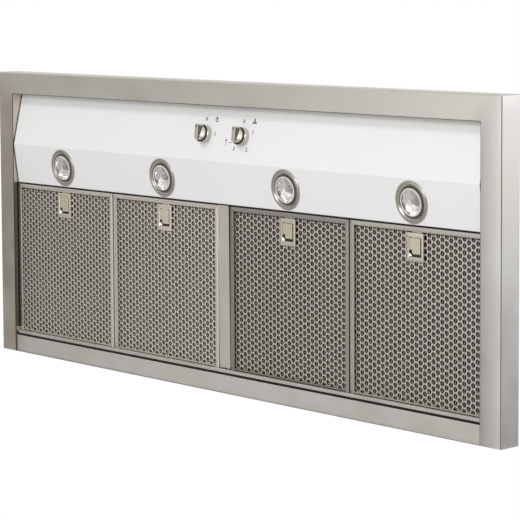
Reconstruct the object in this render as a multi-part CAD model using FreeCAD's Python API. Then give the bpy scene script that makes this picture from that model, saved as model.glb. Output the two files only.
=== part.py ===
import FreeCAD, Part
import math
import os

# A wall-mounted chimney range hood, in millimetres.
# X runs along the wall, +Y into the wall and Z up. The wall is Y = 0 and the rim's underside is Z = 0.
# Places in depth are given as v, the distance out from the wall, so a point at v lies at Y = -v.

V = FreeCAD.Vector

# Body
HOOD_W = 1200.0          # overall width
HOOD_D = 500.0           # wall to front
SKIRT_H = 38.0           # upright skirt round the canopy's edge
SHEET = 1.0              # stainless sheet
RIM_W = 40.0             # flat rim seen from below, at the sides
FRONT_RIM_W = 38.5       # and along the front
RIM_RETURN = 32.0        # upright return at the rim's inner edge
BEND_R = 2.0             # outside radius of the rim's bends
EDGE_R = 0.6             # eased edges of folded sheet
CANOPY_RISE = 210.0      # sloping canopy above the skirt
CANOPY_LAP = 10.0        # canopy flange lapped inside the skirt
TOP_FLANGE = 25.0        # ledge round the canopy's top opening
WALL_HOLE_X = 200.0      # wall screw holes, each side of the centre
WALL_HOLE_Z = 180.0
WALL_HOLE_R = 4.0

# Clearances
SEAM = 1.2               # open seam at each end of the rear bar
FIT = 0.3                # between parts screwed or dropped together
END_GAP = 2.0            # at each end of long strips between the side returns
RUN = 0.05               # radial, shaft in bore
SLIDE_GAP = 0.4          # between the two chimney covers

# Rear bar and the rail that carries the filters
REAR_BAR_W = 29.2
REAR_BAR_SET = 2.0       # bar above the rim's underside
HEM_W = 6.0              # folded-over front edge of the rear bar
FOLD_LINE_W = 0.4        # crease line that the fold leaves on the bar
FOLD_LINE_DEEP = 0.2
REAR_BAR_UP = 20.0       # upstand against the rear panel
LIP_R = 3.3              # rolled lip of the rail
LIP_EDGE_R = 0.8         # edges of its flattened underside
LIP_BEHIND = 2.3         # from the rear bar's edge to the lip
RAIL_GAP_LEFT = 7.0      # ends of the rail to the rim's returns
RAIL_GAP_RIGHT = 2.0

# Control panel, a bent sheet with a crease: knob face in front of it, lamp face behind it
KNOB_RUN = 89.0          # depth of the knob face
KNOB_RISE = 20.5
KNOB_PLACE = 0.473       # share of the knob face from the crease to the knobs
LAMP_RUN = 68.1          # depth of the lamp face
LAMP_RISE = 9.3
LAMP_PLACE = 0.511       # share of the lamp face from the crease to the lamps
CREASE_Z = 0.8           # height of the crease above the rim's underside
PANEL_FLANGE = 12.0      # front flange screwed to the rim's return

# Filters
FILTER_T = 12.0
FILTER_Z = 9.3           # underside of the filters
SEAT = 0.3               # filter above its rail
FILTER_BACK_GAP = 1.3    # rear bar's edge to the filter, in plan
FRONT_GAP = 1.9          # filter to control panel
SIDE_GAP = 1.0           # outer filter to the rim's return
MID_GAP = 3.0            # between neighbouring filters
DIVIDER_W = 26.0
DIVIDER_GAP = 1.5
DIVIDER_BEHIND = 1.0     # divider's face to the lip
DIVIDER_LOW = 1.4        # divider's face below the filters at its front end
DIVIDER_HIGH = 0.5       # and above their undersides at its rear end
DIVIDER_WALL_IN = 4.0    # divider's walls inside the edges of its face
FRAME_T = 0.8            # aluminium channel
FRAME_FLANGE = 8.0
FRAME_R = 1.8            # outside bend of the channel
MESH_RECESS = 2.5        # face sheet behind the channel's face
MITRE_W = 0.5
MITRE_DEEP = 0.3
MESH_T = 1.2             # perforated face sheet
MESH_FIT = 0.3

# Filter latches
LATCH_W = 34.0
LATCH_L = 43.0
LATCH_H = 3.5            # housing below the mesh
LATCH_WALL = 4.5         # housing beside its window
LATCH_ENDS = 7.0         # housing in front of and behind its window
LATCH_FIT = 0.3
LATCH_SET = 1.6          # housing behind the frame's fold
LATCH_TRAVEL = 4.0
THUMB_SINK = 0.8         # thumb plate inside the housing's face
THUMB_LIFT = 0.4         # thumb plate below the mesh
TONGUE_W = 20.0
TONGUE_T = 1.6
TONGUE_LIFT = 0.6        # tongue above the frame's flange
NECK_L = 6.0
LEDGE_CLEAR = 0.4        # stop ledge above the filters
LEDGE_REACH = 12.0
LEDGE_UP = 12.0

# Lamps
LAMP_OUTER_SET = 3.1     # outer lamps inward of their filters' middles
LAMP_D = 65.0
BEZEL_T = 2.0
BEZEL_R = 1.5
LAMP_MOUTH_R = 24.8
MOUTH_FLARE = 2.6        # mouth wider at the bezel's face than at its back
LAMP_BODY_R = 28.5
LAMP_BODY_H = 20.0
LAMP_WALL = 1.0
LAMP_HOLE_FIT = 0.5
LENS_GAP = 2.8           # open ring between lens and bezel
LENS_T = 2.0
LENS_DOME = 1.2
HOLDER_T = 2.0
SOCKET_R = 8.0
SOCKET_H = 9.0
CAPSULE_R = 4.5
CAPSULE_H = 6.0

# Knobs and rotary switches
KNOB_X = 45.0
KNOB_D = 29.6
KNOB_H = 10.0
KNOB_GAP = 0.6
GRIP_W = 8.0
GRIP_H = 13.0
STEM_R = 3.0
STEM_L = 15.0
BUSH_R = 5.0
BUSH_FIT = 0.1
SWITCH_W = 32.0
SWITCH_H = 22.0

# Blower
DUCT_D = 150.0           # outlet spigot, outside
DUCT_WALL = 1.0
SPIGOT_H = 60.0
SPIGOT_FLANGE = 13.0
DECK_T = 1.5
DECK_CLEAR = 1.5         # deck to the inner chimney cover
NECK_D = 110.0           # scroll outlet, front to back
SCROLL_R = 88.0
SCROLL_W = 130.0
SCROLL_T = 1.2
SCROLL_DROP = 18.0       # scroll below the deck
SCROLL_FLANGE = 10.0
IMPELLER_GAP = 14.0      # impeller to scroll
BLADES = 24
BLADE_T = 1.2
BLADE_L = 16.0
RING_T = 2.0
INLET_LAP = 4.0          # inlet inside the blades' inner edge
HUB_R = 12.0
HUB_L = 34.0
DISC_T = 2.0
SHAFT_R = 4.0
MOTOR_R = 42.0
MOTOR_L = 70.0
MOTOR_GAP = 14.0
MOTOR_BORE_L = 40.0
ARM_T = 6.0
ARM_LAP = 12.0           # arm on the scroll, outside the inlet
ARM_L = 20.0             # arm along the motor

# Outlet dampers
FLAP_T = 1.0
FLAP_EDGE = 1.2          # flap to spigot wall
FLAP_UP = 20.0           # flaps above the deck
FLAP_SEAT = 0.3
STOP_W = 3.5
PIN_R = 2.0
SLEEVE_R = 3.6
SLEEVE_CLEAR = 1.4       # flap's straight edge to the other flap's sleeve
SLEEVE_MID = 44.0        # middle sleeve's length
SLEEVE_END = 30.0        # end sleeves' length
SLEEVE_GAP = 3.0

# Electrical boxes on the rear panel
BOX_X = 260.0
BOX_W = 160.0
BOX_H = 80.0
BOX_D = 45.0
BOX_Z = 60.0
GLAND_R = 9.0
GLAND_H = 14.0
GLAND_BORE_R = 4.0
CORE_W = 90.0
CORE_H = 45.0
CORE_D = 40.0

# Chimney covers
CHIMNEY_W = 300.0
CHIMNEY_D = 260.0
CHIMNEY_H = 280.0        # lower, outer cover
UPPER_SHOWS = 10.0       # upper cover above the lower one when pushed down
CHIMNEY_RETURN = 20.0    # flange against the wall

# Screws
SCREW_R = 2.0
SCREW_FIT = 0.1
HEAD_R = 3.2
HEAD_H = 2.4
PANEL_SCREWS = 5
PANEL_SCREW_INSET = 60.0

# Places worked out from the sizes above
HALF_W = HOOD_W / 2
IN_X = HALF_W - RIM_W
RIM_V = HOOD_D - FRONT_RIM_W
CANOPY_TOP = SKIRT_H + CANOPY_RISE
STRIP_X = IN_X - END_GAP
RAIL_LEFT = RAIL_GAP_LEFT - IN_X
RAIL_RIGHT = IN_X - RAIL_GAP_RIGHT
REAR_BAR_TOP = REAR_BAR_SET + SHEET

CREASE_V = RIM_V - FIT - KNOB_RUN
LOW_V = CREASE_V - LAMP_RUN
LOW_Z = CREASE_Z + LAMP_RISE
PANEL_TOP_Z = CREASE_Z + KNOB_RISE
KNOB_TILT = math.degrees(math.atan2(KNOB_RISE, KNOB_RUN))
LAMP_TILT = math.degrees(math.atan2(LAMP_RISE, LAMP_RUN))

FILTER_BACK = REAR_BAR_W + FILTER_BACK_GAP
FILTER_FRONT = LOW_V - FRONT_GAP
FILTER_TOP = FILTER_Z + FILTER_T
FILTER_W = (IN_X - SIDE_GAP - MID_GAP - DIVIDER_GAP - DIVIDER_W / 2) / 2
INNER_X = DIVIDER_W / 2 + DIVIDER_GAP + FILTER_W / 2
OUTER_X = INNER_X + FILTER_W + MID_GAP
FILTER_XS = (-OUTER_X, -INNER_X, INNER_X, OUTER_X)
LAMP_OUTER_X = OUTER_X - LAMP_OUTER_SET
LAMP_XS = (-LAMP_OUTER_X, -INNER_X, INNER_X, LAMP_OUTER_X)
SEAT_Z = FILTER_Z - SEAT
LIP_V = REAR_BAR_W + LIP_BEHIND + LIP_R
LIP_Z = SEAT_Z - LIP_R
RAIL_V = REAR_BAR_W - HEM_W - SHEET - FIT
LEDGE_Z = FILTER_TOP + LEDGE_CLEAR
MESH_Z = FILTER_Z + FRAME_T + MESH_RECESS

LATCH_FRONT = FILTER_FRONT - FRAME_FLANGE - LATCH_SET
LATCH_BACK = LATCH_FRONT - LATCH_L
WINDOW_FRONT = LATCH_FRONT - LATCH_ENDS
WINDOW_BACK = LATCH_BACK + LATCH_ENDS
THUMB_FRONT = WINDOW_FRONT - LATCH_FIT
THUMB_BACK = WINDOW_BACK + LATCH_FIT + LATCH_TRAVEL
TONGUE_Z = MESH_Z + TONGUE_LIFT
TONGUE_TIP = LOW_V - FIT
POCKET_BACK = THUMB_FRONT - NECK_L - LATCH_TRAVEL - LATCH_FIT

DUCT_V = CHIMNEY_D / 2
DUCT_R = DUCT_D / 2
DECK_INSET = 2 * SHEET + SLIDE_GAP + DECK_CLEAR
DECK_TOP = CANOPY_TOP + DECK_T
SCROLL_V = DUCT_V + NECK_D / 2 - SCROLL_R
SCROLL_Z = CANOPY_TOP - SCROLL_DROP - SCROLL_R
IMPELLER_R = SCROLL_R - IMPELLER_GAP
INLET_R = IMPELLER_R - BLADE_L - INLET_LAP
MOTOR_FACE = -SCROLL_W / 2 - MOTOR_GAP
FLAP_Z = DECK_TOP + FLAP_UP
FLAP_R = DUCT_R - DUCT_WALL - FLAP_EDGE
UPPER_INSET = SHEET + SLIDE_GAP
SCREW_XS = [
    (2 * i / (PANEL_SCREWS - 1) - 1) * (STRIP_X - PANEL_SCREW_INSET)
    for i in range(PANEL_SCREWS)
]
SCREW_Z = PANEL_TOP_Z + 2 * SHEET + HEAD_R
DECK_SCREW_X = CHIMNEY_W / 2 - TOP_FLANGE / 2 - DECK_INSET / 2
DECK_SCREW_VS = (
    SHEET + TOP_FLANGE / 2 + DECK_INSET / 2,
    CHIMNEY_D - TOP_FLANGE / 2 - DECK_INSET / 2,
)


def slab(x0, x1, v0, v1, z0, z1):
    """A box between two x, two distances from the wall and two heights."""
    return Part.makeBox(x1 - x0, v1 - v0, z1 - z0, V(x0, -v1, z0))


def rod(radius, start, end):
    """A round bar between two points."""
    axis = end - start
    return Part.makeCylinder(radius, axis.Length, start, axis)


def x_rod(radius, x0, x1, v, z):
    """A round bar along X at a distance from the wall and a height."""
    return rod(radius, V(x0, -v, z), V(x1, -v, z))


def disc(radius, z0, z1, x=0.0, v=0.0):
    """An upright round bar between two heights."""
    return rod(radius, V(x, -v, z0), V(x, -v, z1))


def prism(points, direction):
    """A closed outline pushed along a direction."""
    return Part.Face(Part.makePolygon(points + points[:1])).extrude(direction)


def join(shapes):
    """One solid from pieces that meet."""
    return shapes[0].multiFuse(shapes[1:]).removeSplitter()


def sheet_outline(line, thick):
    """The outline of a folded sheet: a line of 2D points and the same line moved to its left, mitred."""
    steps = [(b - a).normalize() for a, b in zip(line, line[1:])]
    lefts = [V(-step.y, step.x) for step in steps]
    moved = []
    for i, point in enumerate(line):
        before = lefts[max(i - 1, 0)]
        after = lefts[min(i, len(lefts) - 1)]
        mitre = (before + after).normalize()
        moved.append(point + mitre * (thick / mitre.dot(after)))
    return line + moved[::-1]


def folded_along_x(line, thick, half_length):
    """A folded strip whose section is a line of (v, z) points, centred on X = 0."""
    section = [V(-half_length, -p.x, p.y) for p in sheet_outline(line, thick)]
    return prism(section, V(2 * half_length, 0, 0))


def edges_where(shape, test):
    """The straight edges whose two ends both pass a test."""
    return [e for e in shape.Edges if len(e.Vertexes) == 2 and all(test(p.Point) for p in e.Vertexes)]


def near(a, b):
    return abs(a - b) < 1e-6


def on_panel(shape, x, v, z, tilt):
    """Move a shape from its own axis on the control panel, local +Z into the hood, to its place."""
    placed = shape.copy()
    placed.Placement = FreeCAD.Placement(V(x, -v, z), FreeCAD.Rotation(V(1, 0, 0), tilt))
    return placed


def on_lamp_face(shape, x):
    v = CREASE_V - LAMP_PLACE * LAMP_RUN
    return on_panel(shape, x, v, CREASE_Z + LAMP_PLACE * LAMP_RISE, LAMP_TILT)


def on_knob_face(shape, x):
    v = CREASE_V + KNOB_PLACE * KNOB_RUN
    return on_panel(shape, x, v, CREASE_Z + KNOB_PLACE * KNOB_RISE, -KNOB_TILT)


def panel_screw_row(radius, v0, v1):
    """Round bars along the depth at each panel screw."""
    return [rod(radius, V(x, -v0, SCREW_Z), V(x, -v1, SCREW_Z)) for x in SCREW_XS]


def deck_screw_set(radius, z0, z1):
    """Upright round bars at each deck screw."""
    return [disc(radius, z0, z1, x, v) for x in (-DECK_SCREW_X, DECK_SCREW_X) for v in DECK_SCREW_VS]


def rim_frame():
    """Skirt, flat rim and inner return on the front and both sides, welded into one frame."""
    outer = slab(-HALF_W, HALF_W, 0, HOOD_D, 0, SKIRT_H)

    def on_bend(p):
        return near(p.y, -HOOD_D) or near(abs(p.x), HALF_W)

    bends = [e for e in edges_where(outer, lambda p: near(p.z, 0) and on_bend(p))
             if not all(near(p.Point.y, 0) for p in e.Vertexes)]
    corners = [e for e in edges_where(outer, lambda p: near(p.y, -HOOD_D)) if near(e.BoundBox.XLength, 0)]
    outer = outer.makeFillet(BEND_R, bends + corners)
    tray = outer.cut(slab(-HALF_W + SHEET, HALF_W - SHEET, -SHEET, HOOD_D - SHEET, SHEET, SKIRT_H + SHEET))
    returns = slab(-IN_X - SHEET, IN_X + SHEET, SHEET + FIT, RIM_V + SHEET, 0, RIM_RETURN)
    opening = slab(-IN_X, IN_X, -SHEET, RIM_V, -SHEET, RIM_RETURN + SHEET)
    frame = join([tray, returns]).cut(opening)

    def on_mouth(p):
        inside = near(abs(p.x), IN_X) and p.y > -RIM_V - 1e-6
        return near(p.z, 0) and (inside or near(p.y, -RIM_V))

    mouth = [e for e in edges_where(frame, on_mouth) if e.Length > RIM_W]
    frame = frame.makeFillet(EDGE_R, mouth)
    for hole in panel_screw_row(SCREW_R + SCREW_FIT, RIM_V - SHEET, RIM_V + 2 * SHEET):
        frame = frame.cut(hole)
    return frame


def pyramid(inset_x, inset_front, back):
    """The canopy's sloping block, drawn in from its outside by an inset on each face."""
    levels = (
        (SKIRT_H, HALF_W - inset_x, HOOD_D - inset_front),
        (CANOPY_TOP, CHIMNEY_W / 2 - inset_x, CHIMNEY_D - inset_front),
    )
    wires = []
    for z, half, front in levels:
        corners = [V(-half, -back, z), V(half, -back, z), V(half, -front, z), V(-half, -front, z)]
        wires.append(Part.makePolygon(corners + corners[:1]))
    return Part.makeLoft(wires, True, True)


def canopy():
    """Sloping canopy, open at the back, with a flange lapped into the skirt and a ledge at the top."""
    side_run = HALF_W - CHIMNEY_W / 2
    front_run = HOOD_D - CHIMNEY_D
    inset_x = SHEET * math.hypot(side_run, CANOPY_RISE) / CANOPY_RISE
    inset_front = SHEET * math.hypot(front_run, CANOPY_RISE) / CANOPY_RISE
    shell = pyramid(0, 0, SHEET).cut(pyramid(inset_x, inset_front, 0))
    lap = slab(-HALF_W + SHEET, HALF_W - SHEET, SHEET, HOOD_D - SHEET, SKIRT_H - CANOPY_LAP, SKIRT_H)
    lap = lap.cut(slab(-HALF_W + 2 * SHEET, HALF_W - 2 * SHEET, 0, HOOD_D - 2 * SHEET, 0, 2 * SKIRT_H))
    half = CHIMNEY_W / 2
    ledge = slab(-half, half, SHEET, CHIMNEY_D, CANOPY_TOP - SHEET, CANOPY_TOP)
    mouth = slab(-half + TOP_FLANGE, half - TOP_FLANGE, SHEET + TOP_FLANGE, CHIMNEY_D - TOP_FLANGE,
                 SKIRT_H, CANOPY_TOP + SHEET)
    shell = join([shell, lap, ledge.cut(mouth)])
    for hole in deck_screw_set(SCREW_R + SCREW_FIT, CANOPY_TOP - 2 * SHEET, CANOPY_TOP + SHEET):
        shell = shell.cut(hole)
    return shell


def rear_panel():
    """Flat back of the hood, down to its lower edge behind the rear bar, which hangs on two wall screws."""
    half = IN_X - SEAM
    outline = [
        V(half, 0, 0),
        V(half, 0, SHEET),
        V(HALF_W - SHEET, 0, SHEET),
        V(HALF_W - SHEET, 0, SKIRT_H),
        V(HALF_W, 0, SKIRT_H),
        V(CHIMNEY_W / 2, 0, CANOPY_TOP),
    ]
    mirrored = [V(-p.x, p.y, p.z) for p in outline[::-1]]
    panel = prism(outline + mirrored, V(0, -SHEET, 0))
    for x in (-WALL_HOLE_X, WALL_HOLE_X):
        panel = panel.cut(rod(WALL_HOLE_R, V(x, SHEET, WALL_HOLE_Z), V(x, -2 * SHEET, WALL_HOLE_Z)))
    return panel


def rear_bar():
    """Flat bar along the wall, with its front edge folded over and an upstand on the rear panel."""
    half = IN_X - SEAM
    flat = slab(-half, half, SHEET, REAR_BAR_W, REAR_BAR_SET, REAR_BAR_TOP)
    hem = slab(-half, half, REAR_BAR_W - HEM_W, REAR_BAR_W, REAR_BAR_TOP, REAR_BAR_TOP + SHEET)
    upstand = slab(-half, half, SHEET, 2 * SHEET, REAR_BAR_TOP, REAR_BAR_UP)
    bar = join([flat, hem, upstand])
    front = edges_where(bar, lambda p: near(p.z, REAR_BAR_SET) and near(p.y, -REAR_BAR_W))
    bar = bar.makeFillet(EDGE_R, front)
    line_v = REAR_BAR_W - HEM_W
    return bar.cut(slab(-half, half, line_v, line_v + FOLD_LINE_W, REAR_BAR_SET, REAR_BAR_SET + FOLD_LINE_DEEP))


def filter_rail():
    """Rail on the rear bar with a rolled lip, flat below, on which the filters rest and turn."""
    line = [V(LIP_V, SEAT_Z), V(RAIL_V, SEAT_Z), V(RAIL_V, REAR_BAR_TOP)]
    strip = folded_along_x(line, SHEET, (RAIL_RIGHT - RAIL_LEFT) / 2)
    strip.translate(V((RAIL_RIGHT + RAIL_LEFT) / 2, 0, 0))
    flat = slab(RAIL_LEFT, RAIL_RIGHT, LIP_V - LIP_R, LIP_V + LIP_R, LIP_Z - LIP_R, LIP_Z)
    low = edges_where(flat, lambda p: near(p.z, LIP_Z - LIP_R))
    flat = flat.makeFillet(LIP_EDGE_R, [e for e in low if e.BoundBox.XLength > LIP_R])
    return join([strip, flat, x_rod(LIP_R, RAIL_LEFT, RAIL_RIGHT, LIP_V, LIP_Z)])


def control_panel():
    """White panel bent at a crease, pierced for the lamps and the switches."""
    line = [
        V(LOW_V, LEDGE_Z),
        V(LOW_V, LOW_Z),
        V(CREASE_V, CREASE_Z),
        V(RIM_V - FIT, PANEL_TOP_Z),
        V(RIM_V - FIT, PANEL_TOP_Z + PANEL_FLANGE),
    ]
    panel = folded_along_x(line, SHEET, STRIP_X)
    for x in LAMP_XS:
        panel = panel.cut(on_lamp_face(disc(LAMP_BODY_R + LAMP_HOLE_FIT, -SHEET, 2 * SHEET), x))
    for x in (-KNOB_X, KNOB_X):
        panel = panel.cut(on_knob_face(disc(BUSH_R + BUSH_FIT, -SHEET, 2 * SHEET), x))
    for hole in panel_screw_row(SCREW_R + SCREW_FIT, RIM_V - 3 * SHEET, RIM_V + SHEET):
        panel = panel.cut(hole)
    for x in FILTER_XS:
        keeper_half = TONGUE_W / 2 + LATCH_FIT
        panel = panel.cut(slab(x - keeper_half, x + keeper_half, LOW_V - SHEET, LOW_V + 2 * SHEET,
                               TONGUE_Z - LATCH_FIT, TONGUE_Z + TONGUE_T + LATCH_FIT))
    return panel


def front_ledge():
    """Angle on the control panel's rear flange, a stop above the filters' front edges."""
    line = [V(LOW_V - LEDGE_REACH, LEDGE_Z), V(LOW_V + SHEET, LEDGE_Z), V(LOW_V + SHEET, LEDGE_Z + LEDGE_UP)]
    return folded_along_x(line, SHEET, STRIP_X)


def centre_divider():
    """Strip between the two pairs of filters on two walls, from the rail to the front ledge, lower at its front."""
    half = DIVIDER_W / 2
    back = LIP_V + LIP_R + DIVIDER_BEHIND
    high, low = FILTER_Z + DIVIDER_HIGH, FILTER_Z - DIVIDER_LOW
    face = folded_along_x([V(back, high), V(FILTER_FRONT, low)], SHEET, half)
    walls = []
    for x in (-half + DIVIDER_WALL_IN, half - DIVIDER_WALL_IN - SHEET):
        outline = [(back, high), (FILTER_FRONT, low), (FILTER_FRONT, LEDGE_Z), (back, LEDGE_Z)]
        walls.append(prism([V(x, -v, z) for v, z in outline], V(SHEET, 0, 0)))
        walls.append(slab(x, x + SHEET, RAIL_V, back, SEAT_Z, LEDGE_Z))
    return join([face] + walls)


def lamp_bezel():
    """Satin ring with a flared mouth and the lamp's can, about its own axis, with its back on the panel."""
    ring = disc(LAMP_D / 2, -BEZEL_T, 0)
    rims = [e for e in ring.Edges if near(e.BoundBox.ZMax, -BEZEL_T) and near(e.BoundBox.ZLength, 0)]
    mouth = Part.makeCone(LAMP_MOUTH_R + MOUTH_FLARE, LAMP_MOUTH_R, BEZEL_T, V(0, 0, -BEZEL_T))
    ring = ring.makeFillet(BEZEL_R, rims).cut(mouth)
    can = disc(LAMP_BODY_R, 0, LAMP_BODY_H).cut(disc(LAMP_BODY_R - LAMP_WALL, 0, LAMP_BODY_H))
    return join([ring, can])


def lamp_lens():
    """Glass seated on the bezel's ring inside the can, with its face in the ring's mouth."""
    seat = disc(LAMP_BODY_R - LAMP_WALL - FIT, 0, LENS_T)
    face = disc(LAMP_MOUTH_R - LENS_GAP, -LENS_DOME, 0)
    return join([seat, face])


def lamp_bulb():
    """Capsule bulb in its holder, which closes the back of the can."""
    holder = disc(LAMP_BODY_R, LAMP_BODY_H, LAMP_BODY_H + HOLDER_T)
    socket = disc(SOCKET_R, LAMP_BODY_H - SOCKET_H, LAMP_BODY_H)
    capsule = disc(CAPSULE_R, LAMP_BODY_H - SOCKET_H - CAPSULE_H, LAMP_BODY_H - SOCKET_H)
    return join([holder, socket, capsule])


def knob():
    """Round knob with a raised grip and a stem that runs in its switch."""
    skirt = disc(KNOB_D / 2, -KNOB_GAP - KNOB_H, -KNOB_GAP)
    grip_foot = -KNOB_GAP - KNOB_H
    block = Part.makeBox(GRIP_W, KNOB_D, GRIP_H, V(-GRIP_W / 2, -KNOB_D / 2, grip_foot - GRIP_H))
    grip = block.common(disc(KNOB_D / 2, grip_foot - GRIP_H, grip_foot))
    stem = disc(STEM_R, -KNOB_GAP, STEM_L)
    return join([skirt, grip, stem])


def rotary_switch():
    """Switch behind the panel, with a bush through it for the knob's stem."""
    body = Part.makeBox(SWITCH_W, SWITCH_W, SWITCH_H, V(-SWITCH_W / 2, -SWITCH_W / 2, SHEET))
    bush = disc(BUSH_R, 0, SHEET)
    return join([body, bush]).cut(disc(STEM_R + RUN, -SHEET, STEM_L + FIT))


def inside_frame(x, z0, z1):
    """A sheet that fills a filter's frame between two heights."""
    half = FILTER_W / 2 - FRAME_T - MESH_FIT
    inset = FRAME_T + MESH_FIT
    return slab(x - half, x + half, FILTER_BACK + inset, FILTER_FRONT - inset, z0, z1)


def latch_pocket(x):
    """Room for the latch's neck and tongue inside a filter."""
    half = TONGUE_W / 2 + LATCH_FIT
    return slab(x - half, x + half, POCKET_BACK, FILTER_FRONT, MESH_Z - LATCH_FIT,
                TONGUE_Z + TONGUE_T + LATCH_FIT)


def mitre(x, side, v_outer, v_inner):
    """The fine open joint at one corner of a filter's frame."""
    outer_x = x + side * FILTER_W / 2
    inner_x = outer_x - side * FRAME_FLANGE
    half = MITRE_W / math.sqrt(2)
    outline = [
        V(outer_x - half, -v_outer, 0),
        V(outer_x + half, -v_outer, 0),
        V(inner_x + half, -v_inner, 0),
        V(inner_x - half, -v_inner, 0),
    ]
    groove = prism(outline, V(0, 0, MITRE_DEEP))
    groove.translate(V(0, 0, FILTER_Z))
    return groove


def filter_frame(x):
    """Aluminium channel round a filter, folded back to its face sheet, mitred and slotted for the tongue."""
    half = FILTER_W / 2
    outer = slab(x - half, x + half, FILTER_BACK, FILTER_FRONT, FILTER_Z, FILTER_TOP)
    outer = outer.makeFillet(FRAME_R, edges_where(outer, lambda p: near(p.z, FILTER_Z)))
    t = FRAME_T
    hollow = slab(x - half + t, x + half - t, FILTER_BACK + t, FILTER_FRONT - t, FILTER_Z + t, FILTER_TOP - t)
    f = FRAME_FLANGE
    window = slab(x - half + f, x + half - f, FILTER_BACK + f, FILTER_FRONT - f, 0, 2 * FILTER_TOP)
    s = f - t
    fold = slab(x - half + s, x + half - s, FILTER_BACK + s, FILTER_FRONT - s, FILTER_Z, MESH_Z)
    frame = join([outer.cut(hollow), fold]).cut(window)
    for side in (-1, 1):
        frame = frame.cut(mitre(x, side, FILTER_BACK, FILTER_BACK + f))
        frame = frame.cut(mitre(x, side, FILTER_FRONT, FILTER_FRONT - f))
    slot_half = TONGUE_W / 2 + LATCH_FIT
    slot = slab(x - slot_half, x + slot_half, FILTER_FRONT - 2 * t, FILTER_FRONT + t,
                TONGUE_Z - LATCH_FIT, TONGUE_Z + TONGUE_T + LATCH_FIT)
    return frame.cut(slot)


def filter_mesh(x):
    """Perforated face sheet in the frame's fold, drawn without its holes."""
    return inside_frame(x, MESH_Z, MESH_Z + MESH_T).cut(latch_pocket(x))


def filter_pad(x):
    """Pack of fine mesh layers between the face sheet and the frame's upper flange."""
    return inside_frame(x, MESH_Z + MESH_T, FILTER_TOP - FRAME_T).cut(latch_pocket(x))


def latch_plate(x):
    """Latch housing below the mesh, with a window for the thumb plate."""
    half = LATCH_W / 2
    plate = slab(x - half, x + half, LATCH_BACK, LATCH_FRONT, MESH_Z - LATCH_H, MESH_Z)
    corners = edges_where(plate, lambda p: near(p.z, MESH_Z - LATCH_H))
    plate = plate.makeFillet(EDGE_R, corners)
    inner = half - LATCH_WALL
    return plate.cut(slab(x - inner, x + inner, WINDOW_BACK, WINDOW_FRONT, 0, FILTER_TOP))


def latch_slide(x):
    """Thumb plate in the housing's window, with a neck through the mesh and a tongue at the front."""
    half = LATCH_W / 2 - LATCH_WALL - LATCH_FIT
    thumb_z = MESH_Z - LATCH_H + THUMB_SINK
    thumb = slab(x - half, x + half, THUMB_BACK, THUMB_FRONT, thumb_z, MESH_Z - THUMB_LIFT)
    w = TONGUE_W / 2
    neck = slab(x - w, x + w, THUMB_FRONT - NECK_L, THUMB_FRONT, MESH_Z - THUMB_LIFT, TONGUE_Z + TONGUE_T)
    tongue = slab(x - w, x + w, THUMB_FRONT, TONGUE_TIP, TONGUE_Z, TONGUE_Z + TONGUE_T)
    return join([thumb, neck, tongue])


def blower_deck():
    """Plate over the canopy's top opening that carries the blower and the outlet."""
    half = CHIMNEY_W / 2 - DECK_INSET
    deck = slab(-half, half, DECK_INSET, CHIMNEY_D - DECK_INSET, CANOPY_TOP, DECK_TOP)
    deck = deck.cut(disc(DUCT_R - DUCT_WALL - STOP_W, CANOPY_TOP - DECK_T, DECK_TOP + DECK_T, 0, DUCT_V))
    for hole in deck_screw_set(SCREW_R + SCREW_FIT, CANOPY_TOP - DECK_T, DECK_TOP + DECK_T):
        deck = deck.cut(hole)
    return deck


def scroll_block(inset, top):
    """The scroll's round chamber and its upright outlet, drawn in by an inset."""
    half = SCROLL_W / 2 - inset
    chamber = x_rod(SCROLL_R - inset, -half, half, SCROLL_V, SCROLL_Z)
    front = SCROLL_V + SCROLL_R - inset
    outlet = slab(-half, half, front - NECK_D + 2 * inset, front, SCROLL_Z, top)
    return join([chamber, outlet])


def scroll_housing():
    """Blower scroll with an inlet on each side, hung from the deck by the flange of its outlet."""
    half = SCROLL_W / 2 + SCROLL_FLANGE
    mid = NECK_D / 2 + SCROLL_FLANGE
    flange = slab(-half, half, DUCT_V - mid, DUCT_V + mid, CANOPY_TOP - SCROLL_T, CANOPY_TOP)
    shell = join([scroll_block(0, CANOPY_TOP), flange])
    shell = shell.cut(scroll_block(SCROLL_T, CANOPY_TOP + SCROLL_T))
    return shell.cut(x_rod(INLET_R, -SCROLL_W, SCROLL_W, SCROLL_V, SCROLL_Z))


def motor():
    """Fan motor held to the scroll's side by three arms across the inlet."""
    body = x_rod(MOTOR_R, MOTOR_FACE - MOTOR_L, MOTOR_FACE, SCROLL_V, SCROLL_Z)
    pieces = [body]
    reach = INLET_R + ARM_LAP
    for turn in range(3):
        arm = Part.makeBox(
            -SCROLL_W / 2 - MOTOR_FACE + ARM_L, ARM_T, reach - MOTOR_R / 2,
            V(MOTOR_FACE - ARM_L, -ARM_T / 2, MOTOR_R / 2))
        arm.rotate(V(0, 0, 0), V(1, 0, 0), 360 * turn / 3)
        arm.translate(V(0, -SCROLL_V, SCROLL_Z))
        pieces.append(arm)
    bore = x_rod(SHAFT_R + RUN, MOTOR_FACE - MOTOR_BORE_L, -SCROLL_W / 2, SCROLL_V, SCROLL_Z)
    return join(pieces).cut(bore)


def motor_shaft():
    """Steel shaft from the motor's bore to the far end of the impeller's hub."""
    return x_rod(SHAFT_R, MOTOR_FACE - MOTOR_BORE_L + FIT, HUB_L / 2, SCROLL_V, SCROLL_Z)


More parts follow.
